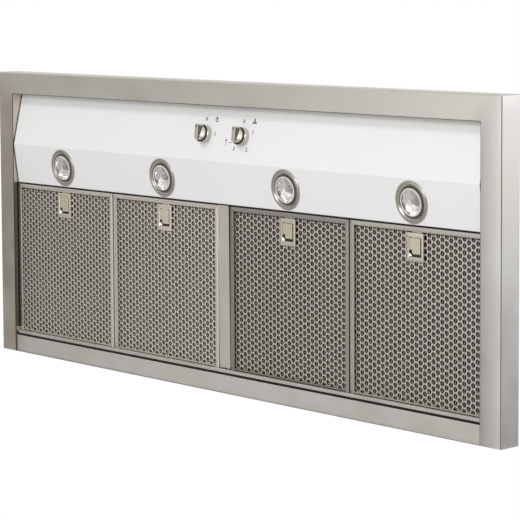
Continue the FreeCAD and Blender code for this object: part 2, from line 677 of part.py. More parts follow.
def impeller():
    """Drum impeller: blades between two end rings, on a centre disc and hub."""
    half = SCROLL_W / 2 - SCROLL_T - IMPELLER_GAP / 2
    inner = IMPELLER_R - BLADE_L
    foot = inner + BLADE_T / 2
    tip = IMPELLER_R - BLADE_T
    reach = half - RING_T / 2
    pieces = [x_rod(inner + BLADE_T, -DISC_T / 2, DISC_T / 2, 0, 0), x_rod(HUB_R, -HUB_L / 2, HUB_L / 2, 0, 0)]
    for x in (-half, half - RING_T):
        pieces.append(x_rod(IMPELLER_R, x, x + RING_T, 0, 0).cut(x_rod(inner, x, x + RING_T, 0, 0)))
    for i in range(BLADES):
        blade = Part.makeBox(2 * reach, BLADE_T, tip - foot, V(-reach, -BLADE_T / 2, foot))
        blade.rotate(V(0, 0, 0), V(1, 0, 0), 360 * i / BLADES)
        pieces.append(blade)
    wheel = join(pieces).cut(x_rod(SHAFT_R + RUN, -HUB_L, HUB_L, 0, 0))
    wheel.translate(V(0, -SCROLL_V, SCROLL_Z))
    return wheel


def outlet_spigot():
    """Round duct spigot on the deck, with a stop ring below the dampers and holes for their pin."""
    top = DECK_TOP + SPIGOT_H
    inner = DUCT_R - DUCT_WALL
    tube = disc(DUCT_R, DECK_TOP, top, 0, DUCT_V).cut(disc(inner, DECK_TOP, top, 0, DUCT_V))
    flange = disc(DUCT_R + SPIGOT_FLANGE, DECK_TOP, DECK_TOP + DUCT_WALL, 0, DUCT_V)
    stop_top = FLAP_Z - FLAP_T / 2 - FLAP_SEAT
    stop = disc(inner, stop_top - FLAP_T, stop_top, 0, DUCT_V)
    hollow = disc(inner - STOP_W, DECK_TOP, top, 0, DUCT_V)
    spigot = join([tube, flange.cut(hollow), stop.cut(hollow)])
    return spigot.cut(x_rod(PIN_R + RUN, -DUCT_D, DUCT_D, DUCT_V, FLAP_Z))


def damper_pin():
    """Rod across the spigot that both dampers turn on."""
    return x_rod(PIN_R, -DUCT_R + FIT, DUCT_R - FIT, DUCT_V, FLAP_Z)


def damper(side, sleeves):
    """Half-round flap on one side of the pin, with the sleeves it turns on."""
    start = SLEEVE_R + SLEEVE_CLEAR
    low, high = FLAP_Z - FLAP_T / 2, FLAP_Z + FLAP_T / 2
    spans = sorted((side * start, side * FLAP_R))
    reach = slab(-FLAP_R, FLAP_R, DUCT_V + spans[0], DUCT_V + spans[1], low, high)
    pieces = [disc(FLAP_R, low, high, 0, DUCT_V).common(reach)]
    for x0, x1 in sleeves:
        web = sorted((0, side * (start + FLAP_T)))
        pieces.append(slab(x0, x1, DUCT_V + web[0], DUCT_V + web[1], low, high))
        pieces.append(x_rod(SLEEVE_R, x0, x1, DUCT_V, FLAP_Z))
    return join(pieces).cut(x_rod(PIN_R + RUN, -DUCT_D, DUCT_D, DUCT_V, FLAP_Z))


def junction_box():
    """Terminal box on the rear panel."""
    return slab(BOX_X - BOX_W / 2, BOX_X + BOX_W / 2, SHEET, SHEET + BOX_D, BOX_Z, BOX_Z + BOX_H)


def cable_gland():
    """Gland on top of the terminal box where the supply cable would enter."""
    v = SHEET + BOX_D / 2
    base = BOX_Z + BOX_H
    gland = disc(GLAND_R, base, base + GLAND_H, BOX_X, v)
    return gland.cut(disc(GLAND_BORE_R, base, base + GLAND_H, BOX_X, v))


def transformer():
    """Lamp transformer on the rear panel."""
    return slab(-BOX_X - CORE_W / 2, -BOX_X + CORE_W / 2, SHEET, SHEET + CORE_D, BOX_Z, BOX_Z + CORE_H)


def chimney_cover(inset, height):
    """Chimney cover of folded sheet, open at the back between two flanges."""
    half = CHIMNEY_W / 2 - inset
    front = CHIMNEY_D - inset
    line = [
        V(half - CHIMNEY_RETURN, -inset),
        V(half, -inset),
        V(half, -front),
        V(-half, -front),
        V(-half, -inset),
        V(-half + CHIMNEY_RETURN, -inset),
    ]
    outline = [V(p.x, p.y, CANOPY_TOP) for p in sheet_outline(line, -SHEET)]
    return prism(outline, V(0, 0, height))


def body_screws():
    """Screws of the control panel's front flange and of the blower deck."""
    screws = []
    flange_v = RIM_V - FIT - SHEET
    shanks = panel_screw_row(SCREW_R, flange_v, RIM_V + SHEET)
    heads = panel_screw_row(HEAD_R, flange_v - HEAD_H, flange_v)
    screws += [join([shank, head]) for shank, head in zip(shanks, heads)]
    shanks = deck_screw_set(SCREW_R, CANOPY_TOP - SHEET, DECK_TOP)
    heads = deck_screw_set(HEAD_R, DECK_TOP, DECK_TOP + HEAD_H)
    screws += [join([shank, head]) for shank, head in zip(shanks, heads)]
    return Part.makeCompound(screws)


def all_parts():
    """Every node's name and shape."""
    parts = {
        "rim_frame": rim_frame(),
        "canopy": canopy(),
        "rear_panel": rear_panel(),
        "rear_bar": rear_bar(),
        "filter_rail": filter_rail(),
        "front_ledge": front_ledge(),
        "centre_divider": centre_divider(),
        "control_panel": control_panel(),
        "light_knob": on_knob_face(knob(), -KNOB_X),
        "fan_knob": on_knob_face(knob(), KNOB_X),
        "light_switch": on_knob_face(rotary_switch(), -KNOB_X),
        "fan_switch": on_knob_face(rotary_switch(), KNOB_X),
        "blower_deck": blower_deck(),
        "scroll_housing": scroll_housing(),
        "motor": motor(),
        "motor_shaft": motor_shaft(),
        "impeller": impeller(),
        "outlet_spigot": outlet_spigot(),
        "damper_pin": damper_pin(),
        "junction_box": junction_box(),
        "cable_gland": cable_gland(),
        "transformer": transformer(),
        "chimney_lower": chimney_cover(0, CHIMNEY_H),
        "chimney_upper": chimney_cover(UPPER_INSET, CHIMNEY_H + UPPER_SHOWS),
        "body_screws": body_screws(),
    }
    middle = (-SLEEVE_MID / 2, SLEEVE_MID / 2)
    inner_end = SLEEVE_MID / 2 + SLEEVE_GAP
    outer_end = inner_end + SLEEVE_END
    parts["damper_front"] = damper(1, [(-outer_end, -inner_end), (inner_end, outer_end)])
    parts["damper_rear"] = damper(-1, [middle])
    for number, x in enumerate(LAMP_XS, start=1):
        parts[f"lamp_bezel_{number}"] = on_lamp_face(lamp_bezel(), x)
        parts[f"lamp_lens_{number}"] = on_lamp_face(lamp_lens(), x)
        parts[f"lamp_bulb_{number}"] = on_lamp_face(lamp_bulb(), x)
    for number, x in enumerate(FILTER_XS, start=1):
        parts[f"filter_frame_{number}"] = filter_frame(x)
        parts[f"filter_mesh_{number}"] = filter_mesh(x)
        parts[f"filter_pad_{number}"] = filter_pad(x)
        parts[f"latch_plate_{number}"] = latch_plate(x)
        parts[f"latch_slide_{number}"] = latch_slide(x)
    return parts


os.makedirs("parts", exist_ok=True)
for name, shape in all_parts().items():
    shape.exportStep(f"parts/{name}.step")
    print(f"{name}: {len(shape.Solids)} solid, {shape.Volume / 1000:.1f} cm3, valid {shape.isValid()}")
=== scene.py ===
# %% [markdown]
# A chimney range hood, seen from below.
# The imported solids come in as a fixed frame. This lesson gives each of them its finish, and makes finer
# pieces where the solid is plain: the perforated filter sheets, the lamps, the knobs and the latches.
# The frame is in metres. A maker writes such parts in millimetres, so the pieces' own sizes below do too.

# %% Load the frame
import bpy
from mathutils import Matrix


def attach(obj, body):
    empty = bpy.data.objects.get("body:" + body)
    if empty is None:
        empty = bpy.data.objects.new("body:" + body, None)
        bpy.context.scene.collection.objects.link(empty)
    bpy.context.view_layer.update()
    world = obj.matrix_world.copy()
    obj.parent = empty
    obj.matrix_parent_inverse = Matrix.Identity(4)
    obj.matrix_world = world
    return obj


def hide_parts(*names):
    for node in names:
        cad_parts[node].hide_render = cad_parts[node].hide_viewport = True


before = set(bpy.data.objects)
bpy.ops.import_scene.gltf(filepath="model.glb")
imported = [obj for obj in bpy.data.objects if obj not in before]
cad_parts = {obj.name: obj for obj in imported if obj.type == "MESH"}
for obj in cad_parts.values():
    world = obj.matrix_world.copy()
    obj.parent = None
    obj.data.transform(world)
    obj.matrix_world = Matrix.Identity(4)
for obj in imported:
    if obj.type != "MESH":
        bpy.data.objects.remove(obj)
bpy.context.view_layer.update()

# %% [markdown]
# The camera looks up at the hood's underside from the right, so the hood's front edge is at the top of the
# picture. A long lens keeps the rim's sides nearly parallel, and shifting it down a little does the rest. The
# camera's axes are worked out from its line of sight: right is level with the wall, up is square to both, and a
# small roll turns the two.

# %% Camera
import math
import bpy
from mathutils import Matrix, Vector

CAMERA_AT = Vector((2.6465, -0.6614, -2.2958))
SIGHT = Vector((-0.74029, 0.08624, 0.66672)).normalized()
ROLL = math.radians(-0.308)
LENS, SENSOR = 152.6, 36
SHIFT_PIXELS, PICTURE_PIXELS = 89.4, 520
level = Vector((SIGHT.z, 0, -SIGHT.x)).normalized()
above = level.cross(SIGHT)
right = level * math.cos(ROLL) + above * math.sin(ROLL)
upward = above * math.cos(ROLL) - level * math.sin(ROLL)

scene = bpy.context.scene
camera = bpy.data.objects.new("camera", bpy.data.cameras.new("camera"))
camera.data.sensor_width = SENSOR
camera.data.lens = LENS
camera.data.shift_y = -SHIFT_PIXELS / PICTURE_PIXELS
camera.matrix_world = Matrix((right, upward, -SIGHT)).transposed().to_4x4()
camera.location = CAMERA_AT
scene.collection.objects.link(camera)
scene.camera = camera
scene.view_settings.view_transform = "Standard"
print("camera to hood in metres:", round(CAMERA_AT.length, 2))

# %% [markdown]
# Every finish below is a small tree of nodes. One function adds a node and sets or links its inputs, so a tree
# reads like a list. Colours are written as sRGB hex, as on a paint card, and a second function turns them to the
# linear light that shaders work in.

# %% Helpers for finishes
def linear(code):
    """A colour written as sRGB hex, as linear red, green, blue and alpha."""
    shares = [int(code[i:i + 2], 16) / 255 for i in (1, 3, 5)]
    return (*[s / 12.92 if s <= 0.04045 else ((s + 0.055) / 1.055) ** 2.4 for s in shares], 1.0)


def set_up(tree, node, inputs, **settings):
    """Gives a node its settings and its inputs: a value, or a link from a socket or from a node's first output."""
    for name, value in settings.items():
        setattr(node, name, value)
    for name, source in inputs.items():
        if isinstance(source, bpy.types.Node):
            source = source.outputs[0]
        if isinstance(source, bpy.types.NodeSocket):
            tree.links.new(source, node.inputs[name])
        else:
            node.inputs[name].default_value = source
    return node


def add(tree, kind, inputs=None, **settings):
    """Adds a node of a kind to a tree."""
    return set_up(tree, tree.nodes.new("ShaderNode" + kind), inputs or {}, **settings)


def blank(name, **values):
    """A new material, its tree, its shader with the constants set, and the place on the piece in metres."""
    material = bpy.data.materials.new(name)
    material.use_nodes = True
    tree = material.node_tree
    shader = set_up(tree, tree.nodes["Principled BSDF"], {k.replace("_", " "): v for k, v in values.items()})
    return material, tree, shader, add(tree, "TexCoord").outputs["Object"]


def per_metre(size):
    """How many times a pattern of a size in millimetres repeats in a metre."""
    return 1000 / size


def mottled(name, dark, light, rough, size):
    """A dull finish that drifts between two colours over a size in millimetres."""
    material, tree, shader, place = blank(name, Roughness=rough)
    drift = add(tree, "TexNoise", {"Scale": per_metre(size), "Vector": place})
    set_up(tree, shader, {"Base Color": add(tree, "MixRGB", {0: drift, 1: linear(dark), 2: linear(light)})})
    return material


print("white as linear:", linear("#ffffff"))

# %% [markdown]
# A hood hangs high, so the floor lies far below it, out of the picture. The world is white where the camera, a
# reflection or a pane of glass looks at it, and a softer grey where it only lights things. That way the metal
# mirrors the same white studio that the picture shows.

# %% Floor and world
FLOOR_Z = -7.5
FLOOR_HALF = 40.0
SQUARE = ((-1, -1), (1, -1), (1, 1), (-1, 1))
floor_mesh = bpy.data.meshes.new("floor")
corners = [(x * FLOOR_HALF, y * FLOOR_HALF, FLOOR_Z) for x, y in SQUARE]
floor_mesh.from_pydata(corners, [], [(0, 1, 2, 3)])
floor = bpy.data.objects.new("floor", floor_mesh)
scene.collection.objects.link(floor)
floor_mesh.materials.append(mottled("matt white floor paint", "#e2e1df", "#eae9e7", rough=0.9, size=2500.0))

WORLD_LIGHT = 0.72
world = bpy.data.worlds.new("white studio")
scene.world = world
world.use_nodes = True
tree = world.node_tree
ray = add(tree, "LightPath")
seen = add(tree, "Math", {0: ray.outputs["Is Camera Ray"], 1: ray.outputs["Is Glossy Ray"]},
           operation="MAXIMUM")
seen = add(tree, "Math", {0: seen, 1: ray.outputs["Is Transmission Ray"]}, operation="MAXIMUM")
strength = add(tree, "MapRange", {"To Min": WORLD_LIGHT, "To Max": 1.0, "Value": seen})
set_up(tree, tree.nodes["Background"], {"Color": (1, 1, 1, 1), "Strength": strength})
print("floor at", FLOOR_Z, "m; world light", WORLD_LIGHT)

# %% [markdown]
# Brushed metal shows the lamps as broad soft glows, so where the softboxes stand decides its tones. The key comes
# from below and the front right. The front box is low and far in front, so that the knobs and the front bar cast
# soft shadows down the panel, and no metal mirrors it. The rim box is there only to be mirrored: it makes the rim
# glow towards its front right corner, and adds no light to the painted panel. The skirt box does the same for the
# right side. Both are daylight tubes, cooler than the key. Dark cards give the bends and the skirt's rear their
# darker lines.

# %% Softboxes and dark cards
def facing(name, data, at, aim):
    """An object at a place that faces a point. The camera doesn't see it."""
    made = bpy.data.objects.new(name, data)
    made.location = at
    made.rotation_euler = (Vector(aim) - Vector(at)).to_track_quat("-Z", "Y").to_euler()
    made.visible_camera = False
    scene.collection.objects.link(made)
    return made


def softbox(name, at, aim, size, watts, tint=(1, 1, 1)):
    """A square soft lamp, to light and to be mirrored."""
    lamp = bpy.data.lights.new(name, "AREA")
    lamp.shape = "SQUARE"
    lamp.size = size
    lamp.energy = watts
    lamp.color = tint
    return facing(name, lamp, at, aim)


COOL = (0.90, 0.955, 1.0)
MIDDLE = (0.0, -0.25, 0.0)
RIGHT_RIM = (0.58, -0.35, 0.0)
LEFT_RIM = (-0.58, -0.25, 0.0)
softbox("key softbox", (1.4, -1.5, -2.8), MIDDLE, size=1.0, watts=36)
front_box = softbox("front softbox", (-0.3, -3.0, -2.2), MIDDLE, size=0.8, watts=26)
front_box.visible_glossy = False
rim_box = softbox("rim softbox", (-0.14, -0.5, -1.35), RIGHT_RIM, size=1.0, watts=1.55, tint=COOL)
rim_box.visible_diffuse = False
skirt_box = softbox("skirt softbox", (2.3, -0.84, 1.6), RIGHT_RIM, size=1.1, watts=5.0, tint=COOL)
skirt_box.visible_diffuse = False

felt = mottled("black felt", "#161616", "#242424", rough=1.0, size=4.0)


def dark_card(name, at, aim, half):
    """A square of black felt that shows only in reflections."""
    mesh = bpy.data.meshes.new(name)
    mesh.from_pydata([(x * half, y * half, 0) for x, y in SQUARE], [], [(0, 1, 2, 3)])
    mesh.materials.append(felt)
    card = facing(name, mesh, at, aim)


BEHIND_CAMERA = 1.2
dark_card("camera_card", CAMERA_AT - SIGHT * BEHIND_CAMERA, MIDDLE, half=1.2)
dark_card("skirt_card", (1.75, 0.74, 1.05), RIGHT_RIM, half=0.66)
dark_card("left_card", (-2.5, 0.02, -1.35), LEFT_RIM, half=0.4)
dark_card("rear_card", (-0.9, 0.55, -1.35), RIGHT_RIM, half=0.22)

# %% [markdown]
# Brushed stainless steel is sheet that was rubbed along one way with a grit belt. The eye sees faint hairlines
# along the rubbing, a broad, soft sheen, and slow clouds where hands and cloths have been. The hairlines are noise
# stretched along the rubbing. Real ones are a tenth of a millimetre wide, too fine for the picture, so they are
# drawn about 2 mm wide, and 4 mm on the canopy and chimney, which are seen from further off.
# On the rim the side strips were rubbed the other way, and are given darker tones than the front as painted
# shade, for how they look from here; at the corners the two blend along the mitre. The right side gets a
# painted cool tint, and on its underside a painted gleam that brightens towards its bend. The skirt's faces
# turned to the front and left are darkened as painted shade. Dark lines of painted reflection run along the
# side bends and round the mouth's edge.

# %% Brushed stainless steel
HAIR_LONG, HAIR_WIDE, HAIR_STREAK = 130.0, 2.2, 0.02
CLOUD = 70.0
RIM_INNER_X, RIM_OUTER_X, RIM_INNER_V = 0.560, 0.600, 0.4615
MITRE_SOFT = 0.03
# painted light on the rim: the dark lines, the skirt's shade, and the right side's gleam and tint
BEND_CORE, BEND_END, BEND_SHADE_TONE = 0.00121, 0.00144, "#57524d"
EDGE_CORE, EDGE_END, EDGE_SHADE_TONE = 0.0008, 0.0012, "#5f554c"
SKIRT_SHADE_TONE = "#bfbab4"
PAINTED_GLEAM_INNER, PAINTED_GLEAM_OUTER = 0.92, 1.44
RIGHT_PAINTED_TINT = (0.945, 1.0, 1.07)
# noise keeps near its middle, so these ranges stretch it, and a face counts as turned from half way on
CLOUD_SPAN = {"From Min": 0.35, "From Max": 0.65}
HAIR_SPAN = {"From Min": 0.3, "From Max": 0.7}
FACES_AWAY = {"From Min": -0.5, "From Max": -0.9}


def on_rim(tree, place, colours, hairs):
    """The rim's colour and hairs from its front's and sides', with painted gleam, tint, shade and dark lines."""
    x, y, z = add(tree, "SeparateXYZ", {0: place}).outputs
    normal = add(tree, "SeparateXYZ", {0: add(tree, "TexCoord").outputs["Normal"]}).outputs
    out = add(tree, "Math", {0: x}, operation="ABSOLUTE")
    past_side = add(tree, "Math", {1: RIM_INNER_X, 0: out}, operation="SUBTRACT")
    past_front = add(tree, "Math", {0: -RIM_INNER_V, 1: y}, operation="SUBTRACT")
    across = add(tree, "Math", {0: past_side, 1: past_front}, operation="SUBTRACT")
    side = add(tree, "MapRange", {"From Min": -MITRE_SOFT, "From Max": MITRE_SOFT, "Value": across})
    colour = add(tree, "MixRGB", {0: side, 1: colours[0], 2: colours[1]})
    hair = add(tree, "Mix", {0: side, 2: hairs[0], 3: hairs[1]})
    # painted light: the right side's cool tint, and on its underside a painted gleam towards the bend
    on_right = add(tree, "Math", {1: 0.0, 0: x}, operation="GREATER_THAN")
    on_right = add(tree, "Math", {0: side, 1: on_right}, operation="MULTIPLY")
    cooler = add(tree, "VectorMath", {1: RIGHT_PAINTED_TINT, 0: colour}, operation="MULTIPLY")
    colour = add(tree, "MixRGB", {0: on_right, 1: colour, 2: cooler})
    below = add(tree, "MapRange", {**FACES_AWAY, "Value": normal[2]})
    strip = add(tree, "Math", {0: on_right, 1: below}, operation="MULTIPLY")
    painted_gleam = add(tree, "MapRange", {"From Min": RIM_INNER_X, "From Max": RIM_OUTER_X,
                                   "To Min": PAINTED_GLEAM_INNER, "To Max": PAINTED_GLEAM_OUTER, "Value": x})
    painted_sheen = add(tree, "VectorMath", {0: colour, 1: painted_gleam}, operation="MULTIPLY")
    colour = add(tree, "MixRGB", {0: strip, 1: colour, 2: painted_sheen})
    # painted dark reflection: the lines round the mouth and along the side bends
    past_edge = add(tree, "Math", {0: past_side, 1: past_front}, operation="MAXIMUM")
    past_edge = add(tree, "Math", {0: past_edge, 1: z}, operation="MAXIMUM")
    inward = add(tree, "Math", {0: RIM_OUTER_X, 1: out}, operation="SUBTRACT")
    past_bend = add(tree, "Math", {0: inward, 1: z}, operation="ADD")
    for far, core, end, tone in ((past_edge, EDGE_CORE, EDGE_END, EDGE_SHADE_TONE),
                                 (past_bend, BEND_CORE, BEND_END, BEND_SHADE_TONE)):
        fade = {"From Min": core, "From Max": end, "To Min": 1.0, "To Max": 0.0}
        line = add(tree, "MapRange", {**fade, "Value": far})
        colour = add(tree, "MixRGB", {2: linear(tone), 0: line, 1: colour})
    # painted shade: the skirt's faces turned to the front and left
    away = add(tree, "Math", {0: normal[0], 1: normal[1]}, operation="MINIMUM")
    skirt = add(tree, "MapRange", {**FACES_AWAY, "Value": away})
    return add(tree, "MixRGB", {2: linear(SKIRT_SHADE_TONE), 0: skirt, 1: colour}), hair


def brushed_steel(name, tones, grain, sides=None, streak=HAIR_STREAK):
    """Steel of a warm and a cool tone, with hairs of a size along X, Y, Z and a strength. A rim's sides differ."""
    material, tree, shader, place = blank(name, Metallic=1.0)
    cloud = add(tree, "TexNoise", {"Scale": per_metre(CLOUD), "Detail": 3.0, "Vector": place})
    cloud = add(tree, "MapRange", {**CLOUD_SPAN, "Value": cloud})
    colours, hairs = [], []
    for (warm, cool), sizes in ((tones, grain), sides) if sides else ((tones, grain),):
        mapped = add(tree, "Mapping", {"Scale": [per_metre(size) for size in sizes], "Vector": place})
        hairs.append(add(tree, "TexNoise", {"Scale": 1.0, "Detail": 4.0, "Roughness": 0.6, "Vector": mapped}))
        colours.append(add(tree, "MixRGB", {1: linear(warm), 2: linear(cool), 0: cloud}))
    colour, hair = on_rim(tree, place, colours, hairs) if sides else (colours[0], hairs[0])
    faint = add(tree, "MapRange", {**HAIR_SPAN, "To Min": 1 - streak, "To Max": 1 + streak, "Value": hair})
    colour = add(tree, "VectorMath", {0: colour, 1: faint}, operation="MULTIPLY")
    rough = add(tree, "MapRange", {"To Min": 0.36, "To Max": 0.43, "Value": cloud})
    bump = add(tree, "Bump", {"Strength": 0.03, "Distance": 0.0002, "Height": hair})
    set_up(tree, shader, {"Base Color": colour, "Roughness": rough, "Normal": bump})
    return material


ALONG_X = (HAIR_LONG, HAIR_WIDE, HAIR_WIDE)
ALONG_Y = (HAIR_WIDE, HAIR_LONG, HAIR_WIDE)
COARSE_LONG, COARSE_WIDE, COARSE_STREAK = 600.0, 4.0, 0.05
COARSE_AROUND = (COARSE_LONG, COARSE_LONG, COARSE_WIDE)
COARSE_UP = (COARSE_WIDE, COARSE_WIDE, COARSE_LONG)
# the rim's sides get darker tones than its front, as painted shade
SIDE_SHADED_TONES = ("#d2c7bb", "#d7cfc6")
CANOPY_TONES = ("#b6b3af", "#b9b7b4")
rim_steel = brushed_steel("brushed stainless steel, rim", ("#e6dfd5", "#e6e2dc"), ALONG_X, (SIDE_SHADED_TONES, ALONG_Y))
bar_steel = brushed_steel("brushed stainless steel, along", ("#eee8e0", "#eeebe7"), ALONG_X)
rail_steel = brushed_steel("brushed stainless steel, rolled", ("#e2dcd3", "#e4e0da"), ALONG_X)
divider_steel = brushed_steel("brushed stainless steel, across", ("#e6ded3", "#eae4db"), ALONG_Y)
canopy_steel = brushed_steel("brushed stainless steel, canopy", CANOPY_TONES, COARSE_AROUND, streak=COARSE_STREAK)
chimney_steel = brushed_steel("brushed stainless steel, upright", CANOPY_TONES, COARSE_UP, streak=COARSE_STREAK)
print("steel finishes:", [m.name for m in bpy.data.materials if "stainless" in m.name])

# %% [markdown]
# The control panel is steel with a white powder coat: plastic powder that was melted on in an oven. The eye sees
# an even, slightly glossy white with a faint orange peel. The peel's bumps are about 1 mm on the real sheet, and
# 3 mm here so that they show at all.

# %% White powder coat
PEEL, DRIFT = 3.0, 180.0
powder_coat, tree, shader, place = blank("white powder coat", Roughness=0.38, IOR=1.5)
peel = add(tree, "TexNoise", {"Scale": per_metre(PEEL), "Detail": 2.0, "Vector": place})
drift = add(tree, "TexNoise", {"Scale": per_metre(DRIFT), "Detail": 1.0, "Vector": place})
white = add(tree, "MixRGB", {1: linear("#edeeee"), 2: linear("#f2f3f3"), 0: drift})
bump = add(tree, "Bump", {"Strength": 0.05, "Distance": 0.0003, "Height": peel})
set_up(tree, shader, {"Base Color": white, "Normal": bump})
print("panel finish:", powder_coat.name)

# %% [markdown]
# The smaller metals differ in colour and polish. Satin nickel on the bezels and knobs is finely blasted, so it is
# even and warm. The filters' aluminium is rolled and dull. The latches are zinc-plated steel with a yellowish
# passivation. Each has fine specks of its own size that move its colour and its roughness. The filters' sheets,
# frames and latches come in lighter and darker copies of a finish, as painted light and shade: the two filters
# on the right get the darker sheets and latches, and the frames' tones differ from filter to filter.

# %% Small metals
def speckled(name, dark, light, rough, speck, spread=0.08, dent=0.1, deep=0.1, span=CLOUD_SPAN, **constants):
    """A finish with specks of a size in its colour, roughness and height. A metal, unless it has constants."""
    material, tree, shader, place = blank(name, **(constants or {"Metallic": 1.0}))
    specks = add(tree, "TexNoise", {"Scale": per_metre(speck), "Detail": 3.0, "Vector": place})
    tone = add(tree, "MapRange", {**span, "Value": specks})
    colour = add(tree, "MixRGB", {0: tone, 1: linear(dark), 2: linear(light)})
    roughs = {"To Min": rough - spread / 2, "To Max": rough + spread / 2}
    sheen = add(tree, "MapRange", {**span, **roughs, "Value": specks})
    bump = add(tree, "Bump", {"Strength": dent, "Distance": deep / 1000, "Height": specks})
    set_up(tree, shader, {"Base Color": colour, "Roughness": sheen, "Normal": bump})
    return material


BLASTED = {"speck": 0.8, "spread": 0.04, "dent": 0.05}
POLISHED = {"speck": 1.0, "spread": 0.03, "dent": 0.03}
ROLLED = {"rough": 0.46, "speck": 3.0, "spread": 0.06, "dent": 0.06}
PUNCHED = {"rough": 0.46, "speck": 3.0}
SHADED = {"rough": 0.42, "speck": 3.0}
PLATED = {"speck": 1.2, "spread": 0.06, "dent": 0.06}
satin_nickel = speckled("satin nickel", "#b8b1a7", "#beb7ad", rough=0.32, **BLASTED)
blasted_nickel = speckled("blasted nickel", "#cfc9c0", "#d5cfc6", rough=0.5, **BLASTED)
polished_nickel = speckled("polished nickel", "#c9c3b9", "#d0cac0", rough=0.28, **POLISHED)
# lighter and darker copies of one finish, as painted light and shade on the filters
frame_aluminium = speckled("rolled aluminium", "#e2dcd3", "#e9e3da", **ROLLED)
half_shaded_aluminium = speckled("rolled aluminium, half_shaded", "#c8c3bb", "#d0cbc3", **ROLLED)
dull_and_shaded_aluminium = speckled("rolled aluminium, darkened", "#a8a29c", "#b0aaa4", **ROLLED)
bright_sheet = speckled("perforated aluminium", "#f3eee6", "#fbf6ee", **PUNCHED)
shaded_sheet = speckled("perforated aluminium, darkened", "#ded9d1", "#e8e3db", **PUNCHED)
# the inner layers are darker than the face sheets, as painted shade in the holes
bright_inner = speckled("inner aluminium layer", "#a09a93", "#b2aca5", **SHADED)
shaded_inner = speckled("inner aluminium layer, darkened", "#89847e", "#9d9892", **SHADED)
bright_zinc = speckled("bright zinc plate", "#f7efdf", "#fcf4e5", rough=0.36, **PLATED)
shaded_zinc = speckled("bright zinc plate, darkened", "#e0d8c8", "#e7dfd0", rough=0.36, **PLATED)
bright_yellow = speckled("yellow zinc plate", "#faf0db", "#fef5e2", rough=0.42, **PLATED)
shaded_yellow = speckled("yellow zinc plate, darkened", "#e3d9c5", "#eae0cd", rough=0.42, **PLATED)
bright_steel = speckled("bright turned steel", "#b9b8b5", "#cac9c6", rough=0.22, speck=1.0)
print("zinc finishes:", [m.name for m in bpy.data.materials if "zinc" in m.name])

# %% [markdown]
# The parts inside the hood are galvanised sheet, whose zinc froze in angular crystals called spangle. Cells of
# Voronoi noise, each with its own grey, draw it. It is about 12 mm across.

# %% Galvanised sheet
SPANGLE = 12.0
galvanised, tree, shader, place = blank("galvanised sheet", Metallic=1.0)
spangle = add(tree, "TexVoronoi", {"Scale": per_metre(SPANGLE), "Vector": place})
cell = add(tree, "SeparateXYZ", {0: spangle.outputs["Color"]})
colour = add(tree, "MixRGB", {1: linear("#8f9292"), 2: linear("#b4b7b6"), 0: cell})
rough = add(tree, "MapRange", {"To Min": 0.36, "To Max": 0.52, "Value": cell})
set_up(tree, shader, {"Base Color": colour, "Roughness": rough})
print("inner sheet finish:", galvanised.name)

# %% [markdown]
# What isn't bare metal is moulded, cast or fired: black ABS for the switches, stove enamel on the motor, grey
# rubber for the lamps' gaskets, steatite ceramic for the lampholders, the ground edge of the lamps' glass, and the
# ink of the printed marks. Several also stand for painted light: the black of the knobs' rings and the grey bands
# on their grips' walls are painted dark reflection, and the black lines on those walls, the black plate behind
# each latch's window, the black foam and grey rubber in the gaps round the filters, and the dark enamel on the
# front ledge are painted shade. All are dielectrics, and a little noise in colour and roughness keeps them from
# looking like plain blocks. The knitted pack is aluminium, but it is coloured nearly black as painted shade
# behind two layers of holes, so it is drawn like them.

# %% Mouldings, castings and ink
GRAINED = {"spread": 0.12, "dent": 0.15, "deep": 0.2, "span": {"From Min": 0.0, "From Max": 1.0}, "IOR": 1.5}
MOULDED = {**GRAINED, "speck": 0.8, "IOR": 1.53}
PRINTED = {**GRAINED, "dent": 0.02}
KNITTED = {**GRAINED, "dent": 0.8}
# black ABS is also painted dark on the knobs and latches; grey ABS is painted dark reflection on the grips
black_abs_and_shade = speckled("black moulded ABS", "#131313", "#1f1e1d", rough=0.35, **MOULDED)
grey_wall_shade = speckled("grey moulded ABS", "#7b7874", "#8a8783", rough=0.5, **MOULDED)
dark_enamel_and_shade = speckled("dark stove enamel", "#26292b", "#34383a", rough=0.42, speck=2.5, **GRAINED)
# painted shade: grey rubber and black foam fill gaps to make them dark; the grey rubber is also the lamps' gaskets
grey_rubber_and_shade = speckled("grey shade_filling rubber", "#4f4b47", "#5d5854", rough=0.7, speck=1.5, **GRAINED)
black_shade_foam = speckled("black shade_filling foam", "#0b0b0b", "#161514", rough=0.9, speck=1.5, **GRAINED)
steatite = speckled("steatite ceramic", "#d8d2c6", "#e9e4da", rough=0.55, speck=1.2, **GRAINED)
ground_edge = speckled("ground glass edge", "#e2e2df", "#f0f0ee", rough=0.5, speck=1.0, **GRAINED)
print_ink = speckled("screen print ink", "#1c1917", "#2a2624", rough=0.6, speck=1.0, **PRINTED)
# painted shade: the pack is coloured nearly black, as seen through the holes
knitted = speckled("knitted aluminium pack", "#1b1917", "#3c3834", rough=0.6, speck=2.2, **KNITTED)
print("seal finishes:", black_shade_foam.name, "and", grey_rubber_and_shade.name)

# %% [markdown]
# The lamps have a pressed glass cover and a silvered reflector behind it. The glass is clear soda glass, and the
# reflector is a thin film of aluminium, nearly a mirror. Both are faintly wavy, as such pressings are.

# %% Glass and silvering
def wavy(name, colour, wave, dent, **values):
    """A smooth finish with a faint waviness of a size in millimetres."""
    material, tree, shader, place = blank(name, Base_Color=linear(colour), **values)
    waves = add(tree, "TexNoise", {"Scale": per_metre(wave), "Detail": 1.0, "Vector": place})
    bump = add(tree, "Bump", {"Strength": dent, "Distance": 0.0004, "Height": waves})
    set_up(tree, shader, {"Normal": bump})
    return material


